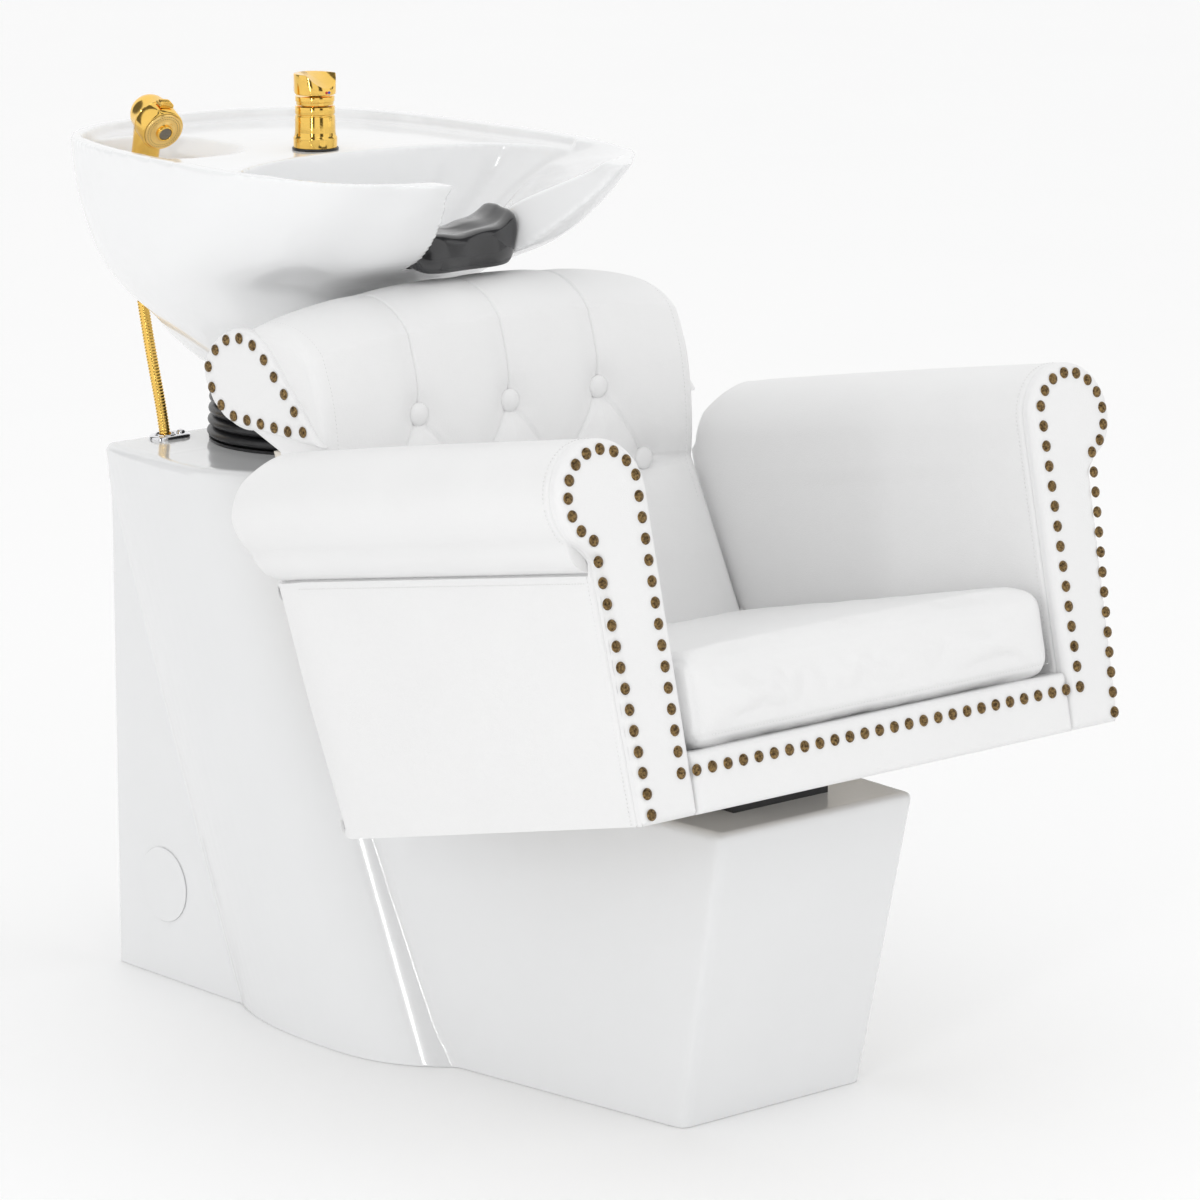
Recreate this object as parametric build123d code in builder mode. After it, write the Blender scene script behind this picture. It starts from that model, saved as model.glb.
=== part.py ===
"""Shampoo backwash unit: a tilting ceramic bowl and an upholstered armchair on one moulded base.

Frame: +Z up, the sitter faces -Y, X = 0 is the symmetry plane, and the origin is on the floor at the
centre of the base footprint.  All lengths are millimetres.
"""
from build123d import *
from math import cos, pi, radians, sin, tan
import os

os.makedirs("parts", exist_ok=True)

# ------------------------------------------------------------------ driving dimensions
# Base
BASE_TOP_Z = 589.0
BASE_REAR_Y = 435.0
BASE_WALL = 5.0
REAR_HALF = 190.0
# Leaning oval column: centre y, half width, reach to the front and reach to the rear
COLUMN_FOOT = (25.0, 222.0, 190.0, 285.0)
COLUMN_HEAD = (285.0, 207.0, 150.0, 313.0)
BLOCK_TOP_Z = 321.0
BLOCK_FOOT = (-438.0, 124.0, -20.0, 174.7)   # front y, front half width, rear y, rear half width
BLOCK_HEAD = (-504.0, 134.0, 60.0, 172.0)
CAP_Y, CAP_Z, CAP_R = 345.0, 106.0, 42.0
FLOOR_HOLE_X, FLOOR_HOLE_Y, FLOOR_HOLE_R = 100.0, 200.0, 6.0

# Seat, tilted front up
SEAT_TILT = 12.83
SEAT_Y, SEAT_Z = -608.0, 384.0
ARM_INNER, ARM_OUTER = 257.0, 324.0
ARM_NECK_X, ARM_NECK_W = 334.0, 255.0
SCROLL_X, SCROLL_W, SCROLL_R = 317.0, 316.0, 56.0
SCROLL_RISE = 24.0
ARM_LENGTH = 545.0
PANEL_T = 14.0
RAIL_H = 60.0
RAIL_T = 40.0
CUSHION_TOP_W = 152.0
CUSHION_DEPTH = 462.0
PAN_W, PAN_T = 46.0, 12.0

# Backrest
BACK_HALF = 255.0
BACK_SEAM = (-34.0, 586.0)
BACK_TOP_MID, BACK_TOP_END = 793.0, 764.0
ROLL_Y, ROLL_Z, ROLL_R = 103.0, 715.0, 60.0

# Nails and buttons
NAIL_R, NAIL_H = 5.8, 3.2
NAIL_SHANK_R, NAIL_SHANK = 1.1, 9.0
NAIL_INNER_X, NAIL_OUTER_X = 273.0, 317.0
NAIL_RAIL_W, NAIL_FOOT_W = 43.0, 10.0
NAIL_SCROLL_R = 45.0
BUTTON_R, BUTTON_H = 12.0, 7.0

# Bowl
RIM_Z = 921.0
BOWL_WALL = 13.0
NECK_Z, NECK_Y, NECK_R = 640.0, 313.0, 99.0
DECK_Z = 909.0
MIXER_Y = 302.0
BARREL_R = 22.0
DRAIN_Y, DRAIN_Z = 237.0, 745.0
DRAIN_FLANGE_R, DRAIN_TAIL_R = 20.0, 13.0
PIVOT_Y, PIVOT_Z, PIN_R = 295.0, 603.0, 6.0
PIN_CLEARANCE = 0.06

# Handset and hose
HEAD_CENTRE = Vector(-122, 437, 944)
HANDLE_UP = Vector(0.09, -0.12, 0.988).normalized()
SPRAY_OUT = Vector(-0.158, -0.882, -0.442).normalized()
HANDSET_DECK_Z = 862.0
HOSE_R = 6.5
GUIDE_X, GUIDE_Y = -127.0, 413.0


def seat_point(v, w):
    """World (y, z) of a point v back along the seat and w up its front face."""
    t = radians(SEAT_TILT)
    return (SEAT_Y + v * cos(t) + w * sin(t), SEAT_Z - v * sin(t) + w * cos(t))


def seat_plane(v):
    """Sketch plane across the seat at depth v: local x is +X, local y is up the front face."""
    t = radians(SEAT_TILT)
    y, z = seat_point(v, 0)
    return Plane(origin=(0, y, z), x_dir=(1, 0, 0), z_dir=(0, -cos(t), sin(t)))


def finish(builder, label):
    """Label the finished piece and write its STEP file."""
    builder.part.label = label
    export_step(builder.part, f"parts/{label}.step")


SIDE = Plane.YZ            # local x is +Y, local y is +Z, normal is +X


# ------------------------------------------------------------------ base
def oval_points(y, half, front, rear):
    """Front-to-rear points of one side of a full, squarish oval."""
    power = 2.5
    points = []
    for k in range(9):
        angle = pi * k / 8
        px = half * abs(sin(angle)) ** (2 / power)
        along = abs(cos(angle)) ** (2 / power)
        points.append((px, y - front * along if angle < pi / 2 else y + rear * along))
    return points


def oval_edges(oval, inset):
    """Edges of a closed oval shrunk by inset, two mirrored splines."""
    y, half, front, rear = oval
    right = oval_points(y, half - inset, front - inset, rear - inset)
    with BuildLine() as outline:
        Spline(*right, tangents=[(1, 0), (-1, 0)])
        Spline(*[(-a, b) for a, b in right], tangents=[(-1, 0), (1, 0)])
    return outline.edges()


def block_edges(front_y, front_half, rear_y, rear_half):
    """Edges of the front block's trapezium."""
    with BuildLine() as outline:
        Polyline(
            (-front_half, front_y), (front_half, front_y),
            (rear_half, rear_y), (-rear_half, rear_y), close=True,
        )
    return outline.edges()


def base_body(inset):
    """Column, rear block and front block as one solid, shrunk by inset all round."""
    with BuildPart() as body:
        with BuildSketch(Plane.XY):
            make_face(oval_edges(COLUMN_FOOT, inset))
        with BuildSketch(Plane.XY.offset(BASE_TOP_Z - inset)):
            make_face(oval_edges(COLUMN_HEAD, inset))
        loft()
        # The column's rear is cut flush with the flat back
        with Locations((0, BASE_REAR_Y - inset, 0)):
            Box(600, 400, 1400, align=(Align.CENTER, Align.MIN, Align.CENTER), mode=Mode.SUBTRACT)
        with BuildSketch(SIDE.offset(-REAR_HALF + inset)):
            with BuildLine():
                Polyline(
                    (190, 0), (BASE_REAR_Y - inset, 0),
                    (BASE_REAR_Y - inset, BASE_TOP_Z - inset), (350, BASE_TOP_Z - inset), close=True,
                )
            make_face()
        extrude(amount=2 * (REAR_HALF - inset))
        fy, fh, ry, rh = BLOCK_FOOT
        hy, hh, sy, sh = BLOCK_HEAD
        with BuildSketch(Plane.XY):
            make_face(block_edges(fy + inset, fh - inset, ry, rh - inset))
        with BuildSketch(Plane.XY.offset(BLOCK_TOP_Z - inset)):
            make_face(block_edges(hy + inset, hh - inset, sy, sh - inset))
        loft()
    return body.part


outer_body = base_body(0)
inner_body = base_body(BASE_WALL)

with BuildPart() as base_shell:
    add(outer_body)
    add(inner_body, mode=Mode.SUBTRACT)
    # Neck opening under the bellows
    with BuildSketch(Plane.XY.offset(BASE_TOP_Z - 20)):
        with Locations((0, NECK_Y)):
            Circle(97)
    extrude(amount=40, mode=Mode.SUBTRACT)
    # Hose hole under the guide plate
    with Locations((GUIDE_X, GUIDE_Y, BASE_TOP_Z - 20)):
        Cylinder(13, 40, align=(Align.CENTER, Align.CENTER, Align.MIN), mode=Mode.SUBTRACT)
    # Service hole in each cheek of the rear block: only the left one is cut
    with BuildSketch(SIDE.offset(-REAR_HALF - 20)):
        with Locations((CAP_Y, CAP_Z)):
            Circle(CAP_R - 3)
    extrude(amount=40, mode=Mode.SUBTRACT)
    # Bolt holes in the block top for the seat mount
    with Locations((0, -350, BLOCK_TOP_Z - 20)):
        with GridLocations(90, 120, 2, 2):
            Cylinder(5, 40, align=(Align.CENTER, Align.CENTER, Align.MIN), mode=Mode.SUBTRACT)
finish(base_shell, "base_shell")

with BuildPart() as side_cap:
    with BuildSketch(SIDE.offset(-REAR_HALF - 2)):
        with Locations((CAP_Y, CAP_Z)):
            Circle(CAP_R)
    extrude(amount=2)
    with BuildSketch(SIDE.offset(-REAR_HALF)):
        with Locations((CAP_Y, CAP_Z)):
            Circle(CAP_R - 3.1)
            Circle(CAP_R - 5.5, mode=Mode.SUBTRACT)
    extrude(amount=12)
finish(side_cap, "side_cap")

# ------------------------------------------------------------------ steel chassis inside the base
POST_X = 62.0
PLATE_T = 6.0

with BuildPart() as floor_plate:
    with BuildSketch(Plane.XY):
        RectangleRounded(230, 440, 20)
        with GridLocations(2 * FLOOR_HOLE_X, 2 * FLOOR_HOLE_Y, 2, 2):
            Circle(FLOOR_HOLE_R, mode=Mode.SUBTRACT)
        with Locations((0, 110), (0, -60)):
            Circle(45, mode=Mode.SUBTRACT)
    extrude(amount=PLATE_T)
finish(floor_plate, "floor_plate")

# Two leaning posts carry the tilt pins; they start at the rear of the floor plate
with BuildPart() as bowl_posts:
    for side in (-1, 1):
        with BuildSketch(SIDE.offset(side * POST_X - 4)):
            with BuildLine():
                Polyline(
                    (150, PLATE_T), (222, PLATE_T), (PIVOT_Y + 20, 520),
                    (PIVOT_Y + 16, PIVOT_Z + 16), (PIVOT_Y - 16, PIVOT_Z + 16),
                    (PIVOT_Y - 20, 520), close=True,
                )
            make_face()
            with Locations((PIVOT_Y, PIVOT_Z)):
                Circle(PIN_R + 2, mode=Mode.SUBTRACT)
        extrude(amount=8)
    # Cross ties hold the two posts apart
    with Locations((0, 205, 150), (0, 292, 480)):
        Cylinder(8, 2 * POST_X - 8, rotation=(0, 90, 0))
finish(bowl_posts, "bowl_posts")

with BuildPart() as tilt_bushes:
    for side in (-1, 1):
        with BuildSketch(SIDE.offset(side * POST_X - 4)):
            with Locations((PIVOT_Y, PIVOT_Z)):
                Circle(PIN_R + 2)
                Circle(PIN_R + PIN_CLEARANCE, mode=Mode.SUBTRACT)
        extrude(amount=8)
finish(tilt_bushes, "tilt_bushes")

with BuildPart() as seat_post:
    with BuildSketch(Plane.XY.offset(PLATE_T)):
        with Locations((0, -190)):
            Rectangle(90, 60)
            Rectangle(80, 50, mode=Mode.SUBTRACT)
    extrude(amount=BLOCK_TOP_Z - BASE_WALL - PLATE_T - 8)
finish(seat_post, "seat_post")

with BuildPart() as seat_beam:
    with Locations((0, -300, BLOCK_TOP_Z - BASE_WALL - 8)):
        Box(130, 290, 8, align=(Align.CENTER, Align.CENTER, Align.MIN))
    with Locations((0, -350, BLOCK_TOP_Z - 30)):
        with GridLocations(90, 120, 2, 2):
            Cylinder(5, 40, align=(Align.CENTER, Align.CENTER, Align.MIN), mode=Mode.SUBTRACT)
finish(seat_beam, "seat_beam")

# Black cast wedge between the block and the seat pan
front_w = seat_point(155, PAN_W)
rear_w = seat_point(400, PAN_W)
with BuildPart() as seat_mount:
    with BuildSketch(SIDE.offset(-65)):
        with BuildLine():
            Polyline(
                (front_w[0], BLOCK_TOP_Z), front_w, rear_w, (rear_w[0], BLOCK_TOP_Z), close=True,
            )
        make_face()
    extrude(amount=130)
    with Locations((0, -350, BLOCK_TOP_Z - 10)):
        with GridLocations(90, 120, 2, 2):
            Cylinder(5, 100, align=(Align.CENTER, Align.CENTER, Align.MIN), mode=Mode.SUBTRACT)
finish(seat_mount, "seat_mount")

with BuildPart() as seat_bolts:
    for x in (-45, 45):
        for y in (-410, -290):
            w_top = SEAT_Z + PAN_W - (y - SEAT_Y) * tan(radians(SEAT_TILT)) - 8
            with Locations((x, y, BLOCK_TOP_Z - BASE_WALL - 8 - 7)):
                Cylinder(8.5, 7, align=(Align.CENTER, Align.CENTER, Align.MIN))
                Cylinder(4.9, w_top - BLOCK_TOP_Z + 18, align=(Align.CENTER, Align.CENTER, Align.MIN))
finish(seat_bolts, "seat_bolts")

# Waste pipe from the bowl's sleeve down to the floor outlet
WASTE_R = 17.5
with BuildPart() as waste_pipe:
    with BuildLine() as waste_line:
        FilletPolyline(
            (0, DRAIN_Y, 585), (0, DRAIN_Y, 330), (0, 110, 200), (0, 110, 0),
            radius=70,
        )
    with BuildSketch(Plane(origin=(0, DRAIN_Y, 585), z_dir=(0, 0, -1))):
        Circle(WASTE_R)
        Circle(WASTE_R - 2.5, mode=Mode.SUBTRACT)
    sweep(path=waste_line.line)
finish(waste_pipe, "waste_pipe")

# Valves for hot and cold water on a bridge over the hole in the floor plate
VALVE_X, VALVE_Y = 22.0, -60.0
INLET_R, INLET_LENGTH = 8.0, 30.0
with BuildPart() as supply_valves:
    with Locations((0, VALVE_Y, INLET_LENGTH)):
        Box(116, 26, 5, align=(Align.CENTER, Align.CENTER, Align.MIN))
    for side in (-1, 1):
        with Locations((side * 53, VALVE_Y, PLATE_T)):
            Box(10, 26, INLET_LENGTH - PLATE_T, align=(Align.CENTER, Align.CENTER, Align.MIN))
        with Locations((side * VALVE_X, VALVE_Y, 0)):
            Cylinder(INLET_R, INLET_LENGTH, align=(Align.CENTER, Align.CENTER, Align.MIN))
        with Locations((side * VALVE_X, VALVE_Y, INLET_LENGTH + 5)):
            Cylinder(12, 28, align=(Align.CENTER, Align.CENTER, Align.MIN))
        with Locations((side * VALVE_X, VALVE_Y, INLET_LENGTH + 33)):
            Cylinder(8, 14, align=(Align.CENTER, Align.CENTER, Align.MIN))
        with Locations((side * VALVE_X, VALVE_Y, INLET_LENGTH + 20)):
            Cylinder(6, 30, rotation=(90, 0, 0), align=(Align.CENTER, Align.CENTER, Align.MIN))
finish(supply_valves, "supply_valves")

# Ribbed rubber boot round the neck of the bowl
BELLOWS_RIBS = 5
BELLOWS_TOP = 655.0
with BuildPart() as bellows:
    with BuildSketch(Plane.XZ.offset(-NECK_Y)):
        with BuildLine():
            pitch = (BELLOWS_TOP - BASE_TOP_Z) / BELLOWS_RIBS
            outline = [(101.5, BASE_TOP_Z), (114, BASE_TOP_Z)]
            for rib in range(BELLOWS_RIBS):
                z = BASE_TOP_Z + rib * pitch
                outline += [(116 - rib, z + pitch * 0.5), (107, z + pitch)]
            outline += [(101.5, BELLOWS_TOP)]
            Polyline(*outline, close=True)
        make_face()
    revolve(axis=Axis((0, NECK_Y, 0), (0, 0, 1)))
finish(bellows, "bellows")

# Chrome plate that guides the hose through the base top
with BuildPart() as hose_guide:
    with BuildSketch(Plane.XY.offset(BASE_TOP_Z)):
        with Locations((GUIDE_X + 6, GUIDE_Y)):
            SlotOverall(50, 30)
        with Locations((GUIDE_X, GUIDE_Y)):
            Circle(HOSE_R + 4, mode=Mode.SUBTRACT)
    extrude(amount=5)
    fillet(hose_guide.edges().group_by(Axis.Z)[-1].filter_by(GeomType.LINE), radius=1.5)
finish(hose_guide, "hose_guide")

with BuildPart() as guide_screw:
    with Locations((GUIDE_X + 21, GUIDE_Y, BASE_TOP_Z + 5)):
        Cylinder(5, 2.5, align=(Align.CENTER, Align.CENTER, Align.MIN))
finish(guide_screw, "guide_screw")


# ------------------------------------------------------------------ seat
def arm_front_edges(side, rise):
    """Front outline of one arm: straight inner edge, rolled scroll, necked outer edge."""
    cy = SCROLL_W + rise
    with BuildLine() as outline:
        inner_top = (side * (SCROLL_X - SCROLL_R), cy + 2)
        Line((side * ARM_INNER, 0), inner_top)
        ThreePointArc(inner_top, (side * SCROLL_X, cy + SCROLL_R), (side * (SCROLL_X + SCROLL_R), cy))
        ThreePointArc(
            (side * (SCROLL_X + SCROLL_R), cy),
            (side * (SCROLL_X + 0.78 * SCROLL_R), cy - 0.62 * SCROLL_R),
            (side * ARM_NECK_X, ARM_NECK_W + rise),
        )
        Line((side * ARM_NECK_X, ARM_NECK_W + rise), (side * ARM_OUTER, 0))
        Line((side * ARM_OUTER, 0), (side * ARM_INNER, 0))
    return outline.edges()


for name, side in (("left", -1), ("right", 1)):
    with BuildPart() as arm_front:
        with BuildSketch(seat_plane(0)):
            make_face(arm_front_edges(side, 0))
        extrude(amount=-PANEL_T)
    finish(arm_front, f"arm_front_{name}")

    with BuildPart() as arm:
        with BuildSketch(seat_plane(PANEL_T)):
            make_face(arm_front_edges(side, 0))
        with BuildSketch(seat_plane(ARM_LENGTH)):
            make_face(arm_front_edges(side, SCROLL_RISE))
        loft()
        # The rear edge leans and rounds over under the roll
        rear = [(478, -20), (506, 146), (520, 262), (529, 300), (531, 338), (521, 372), (496, 398), (440, 404)]
        far = [(440, 440), (600, 440), (600, -20)]
        with BuildSketch(SIDE.offset(-500)):
            with BuildLine():
                Polyline(*[seat_point(v, w) for v, w in rear + far], close=True)
            make_face()
        extrude(amount=1000, mode=Mode.SUBTRACT)
    finish(arm, f"arm_{name}")

with BuildPart() as front_rail:
    with BuildSketch(seat_plane(0)):
        with Locations((0, RAIL_H / 2)):
            Rectangle(2 * ARM_INNER - 0.6, RAIL_H)
    extrude(amount=-RAIL_T)
finish(front_rail, "front_rail")

with BuildPart() as seat_pan:
    with BuildSketch(seat_plane(RAIL_T)):
        with Locations((0, PAN_W + PAN_T / 2)):
            Rectangle(2 * ARM_INNER - 0.6, PAN_T)
    extrude(amount=-(CUSHION_DEPTH - RAIL_T))
finish(seat_pan, "seat_pan")

with BuildPart() as seat_cushion:
    with BuildSketch(seat_plane(-2)):
        with Locations((0, (RAIL_H + CUSHION_TOP_W) / 2)):
            Rectangle(2 * ARM_INNER - 8, CUSHION_TOP_W - RAIL_H)
    extrude(amount=-CUSHION_DEPTH - 2)
    fillet(seat_cushion.edges().filter_by(Axis.X, reverse=False), radius=10)
finish(seat_cushion, "seat_cushion")

# ------------------------------------------------------------------ backrest
front_low = (-117.0, 420.0)
board_low, board_high = (-42.0, 400.0), (48.0, 640.0)
BOARD_T = 15.0

with BuildPart() as backrest:
    with BuildSketch(SIDE.offset(-BACK_HALF)):
        with BuildLine():
            Line(front_low, BACK_SEAM)
            ThreePointArc(BACK_SEAM, (-30, 680), (-8, 762))
            ThreePointArc((-8, 762), (45, BACK_TOP_MID), (ROLL_Y + 15, ROLL_Z + 52))
            ThreePointArc((ROLL_Y + 15, ROLL_Z + 52), (ROLL_Y + ROLL_R, ROLL_Z), (ROLL_Y - 8, 657))
            Line((ROLL_Y - 8, 657), board_high)
            Line(board_high, board_low)
            Line(board_low, front_low)
        make_face()
    extrude(amount=2 * BACK_HALF)
    # The top edge is arched from end to end
    with BuildSketch(Plane.XZ.offset(-400)):
        with BuildLine():
            ThreePointArc((-BACK_HALF, BACK_TOP_END), (0, BACK_TOP_MID + 1), (BACK_HALF, BACK_TOP_END))
            Polyline(
                (BACK_HALF, BACK_TOP_END), (BACK_HALF, 1000), (-BACK_HALF, 1000), (-BACK_HALF, BACK_TOP_END),
            )
        make_face()
    extrude(amount=800, mode=Mode.SUBTRACT)
finish(backrest, "backrest")

with BuildPart() as back_board:
    with BuildSketch(SIDE.offset(-BACK_HALF + 8)):
        with BuildLine():
            Polyline(
                board_low, board_high, (board_high[0] + BOARD_T, board_high[1]),
                (board_low[0] + BOARD_T, board_low[1]), close=True,
            )
        make_face()
    extrude(amount=2 * BACK_HALF - 16)
finish(back_board, "back_board")


def teardrop_edges(grow):
    """Edges of the rolled top's teardrop end, in the (y, z) plane, grown outside the nail line."""
    with BuildLine() as outline:
        tip = (-14 - 1.9 * grow, 667 - grow)
        shoulder = (60 - 0.7 * grow, 738 + 0.72 * grow)
        under = (108, 671 - grow)
        Line(tip, shoulder)
        ThreePointArc(shoulder, (103, 755 + grow), (156 + grow, 715))
        ThreePointArc((156 + grow, 715), (140 + 0.7 * grow, 686 - 0.7 * grow), under)
        Line(under, tip)
    return outline.edges()


END_T = 6.0
for name, side in (("left", -1), ("right", 1)):
    with BuildPart() as back_end:
        with BuildSketch(SIDE.offset(side * BACK_HALF - (END_T if side < 0 else 0))):
            make_face(teardrop_edges(9))
        extrude(amount=END_T)
    finish(back_end, f"back_end_{name}")


# ------------------------------------------------------------------ nails and buttons
def nail(plane):
    """Domed nail with its shank; the plane's origin is under the head and its normal points out."""
    with BuildPart(plane, mode=Mode.PRIVATE) as one:
        with BuildSketch(plane):
            Circle(NAIL_R)
        extrude(amount=1.0)
        with BuildSketch(plane.offset(1.0)):
            Circle(NAIL_R)
        extrude(amount=NAIL_H - 1.0, taper=45)
        with BuildSketch(plane):
            Circle(NAIL_SHANK_R)
        extrude(amount=-NAIL_SHANK)
    return one.part


def spaced(start, end, pitch):
    """Evenly spaced points from start to end, about pitch apart, without the end."""
    length = ((end[0] - start[0]) ** 2 + (end[1] - start[1]) ** 2) ** 0.5
    count = max(1, round(length / pitch))
    return [
        (start[0] + (end[0] - start[0]) * k / count, start[1] + (end[1] - start[1]) * k / count)
        for k in range(count)
    ]


def arm_nail_points(side):
    """Nail centres of one arm front: inner column, scroll, outer column down to the foot."""
    start, stop = 160.0, -62.0
    arc = []
    for k in range(11):
        angle = radians(start + (stop - start) * k / 10)
        arc.append((SCROLL_X + NAIL_SCROLL_R * cos(angle), SCROLL_W + NAIL_SCROLL_R * sin(angle)))
    inner = spaced((NAIL_INNER_X, NAIL_RAIL_W + 21), arc[0], 21)
    outer = spaced((NAIL_OUTER_X, NAIL_FOOT_W), arc[-1], 21)
    return [(side * x, w) for x, w in inner + arc + outer]


RAIL_NAILS = 28
rail_points = [
    (-NAIL_INNER_X + 2 * NAIL_INNER_X * k / (RAIL_NAILS - 1), NAIL_RAIL_W) for k in range(RAIL_NAILS)
]
face = seat_plane(0)
for name, points in (
    ("arm_left", arm_nail_points(-1)), ("arm_right", arm_nail_points(1)), ("rail", rail_points),
):
    with BuildPart() as nails:
        for x, w in points:
            add(nail(Plane(origin=face.from_local_coords((x, w, 0)), x_dir=face.x_dir, z_dir=face.z_dir)))
    finish(nails, f"nails_{name}")

TEAR_NAILS = 18
for name, side in (("left", -1), ("right", 1)):
    with BuildSketch() as tear:
        make_face(teardrop_edges(0))
    rim = tear.face().outer_wire()
    with BuildPart() as nails:
        for k in range(TEAR_NAILS):
            p = rim.position_at(k / TEAR_NAILS)
            seat = Plane(
                origin=(side * (BACK_HALF + END_T), p.X, p.Y), x_dir=(0, 1, 0), z_dir=(side, 0, 0),
            )
            add(nail(seat))
    finish(nails, f"nails_back_{name}")

with BuildPart() as back_buttons:
    upper = [(x, -29.5, 676) for x in (-123.5, 0, 123.5)]
    lower = [(x, -33.5, 592) for x in (-185, -62, 62, 185)]
    for spot in upper + lower:
        plane = Plane(origin=spot, x_dir=(1, 0, 0), z_dir=(0, -1, 0.1))
        with BuildSketch(plane):
            Circle(BUTTON_R)
        extrude(amount=BUTTON_H)
finish(back_buttons, "back_buttons")

# ------------------------------------------------------------------ bowl
# One side of the rim, as fractions of the half width and of the depth from the front edge
RIM_SHAPE = [(0.52, 0.0), (0.66, 0.045), (0.87, 0.14), (1.0, 0.34), (0.985, 0.56), (0.93, 0.75),
             (0.78, 0.89), (0.45, 0.98)]
# Level, half width, front y and rear y of each section of the outside
BOWL_SECTIONS = [(646, 99, 214, 412), (662, 99.5, 213.5, 412.5), (690, 128, 196, 455), (735, 165, 173, 506),
                 (780, 196, 136, 545), (806, 208, 70, 558), (825, 217, 25, 566), (870, 229, -30, 573),
                 (RIM_Z, 235, -75, 573)]
# Level, half width, front y and rear y of each oval section of the basin
BASIN_SECTIONS = [(DRAIN_Z, 62, 173, 259), (780, 110, 142, 260), (825, 165, 48, 261), (870, 192, -8, 263),
                  (RIM_Z + 1, 212, -48, 266)]
# The hollow under the deck: level, half width, front y, rear y and roundness of each section
HOLLOW_SECTIONS = [(676, 88, 200, 416, 0.9), (735, 144, 180, 484, 0.64), (780, 175, 140, 524, 0.5),
                   (825, 198, 40, 546, 0.27), (HANDSET_DECK_Z - BOWL_WALL, 206, 0, 554, 0.2)]
HOLLOW_FRONT_Y = 275.0


def bowl_section_edges(half, front_y, rear_y, roundness):
    """Edges of a closed bowl section; roundness 1 is an oval, 0 is the pointed rim shape."""
    middle = (front_y + rear_y) / 2
    reach = (rear_y - front_y) / 2
    points = []
    for k, (u, t) in enumerate(RIM_SHAPE):
        angle = pi * (k + 1) / (len(RIM_SHAPE) + 1)
        ox, oy = half * sin(angle), middle - reach * cos(angle)
        rx, ry = u * half, front_y + t * (rear_y - front_y)
        points.append((rx + (ox - rx) * roundness, ry + (oy - ry) * roundness))
    right = [(0, front_y)] + points + [(0, rear_y)]
    with BuildLine() as outline:
        Polyline(*right)
        Polyline(*[(-x, y) for x, y in right])
    return outline.edges()


def drill(spot, direction, radius, length):
    """Cutting cylinder from spot along direction, made outside any builder."""
    return Plane(origin=spot, z_dir=direction) * Cylinder(
        radius, length, align=(Align.CENTER, Align.CENTER, Align.MIN), mode=Mode.PRIVATE,
    )


handle_foot = HEAD_CENTRE - HANDLE_UP * 112
deck_spot = HEAD_CENTRE - HANDLE_UP * ((HEAD_CENTRE.Z - HANDSET_DECK_Z) / HANDLE_UP.Z)
STUD_SPOTS = [(34, 340), (-34, 340), (34, 288), (-34, 288)]

with BuildPart() as bowl_outside:
    for level, (z, half, front_y, rear_y) in enumerate(BOWL_SECTIONS):
        with BuildSketch(Plane.XY.offset(z)):
            make_face(bowl_section_edges(half, front_y, rear_y, 1 - level / (len(BOWL_SECTIONS) - 1)))
    loft(ruled=True)

with BuildPart() as basin:
    for z, half, front_y, rear_y in BASIN_SECTIONS:
        with BuildSketch(Plane.XY.offset(z)):
            with Locations((0, (front_y + rear_y) / 2)):
                Ellipse(half, (rear_y - front_y) / 2)
    loft(ruled=True)

with BuildPart() as bowl_hollow:
    for z, half, front_y, rear_y, roundness in HOLLOW_SECTIONS:
        with BuildSketch(Plane.XY.offset(z)):
            make_face(bowl_section_edges(half, front_y, rear_y, roundness))
    loft(ruled=True)
    # Nothing is hollowed in front of the mixer's fixing
    with Locations((0, HOLLOW_FRONT_Y, 760)):
        Box(600, 600, 400, align=(Align.CENTER, Align.MAX, Align.CENTER), mode=Mode.SUBTRACT)

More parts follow.
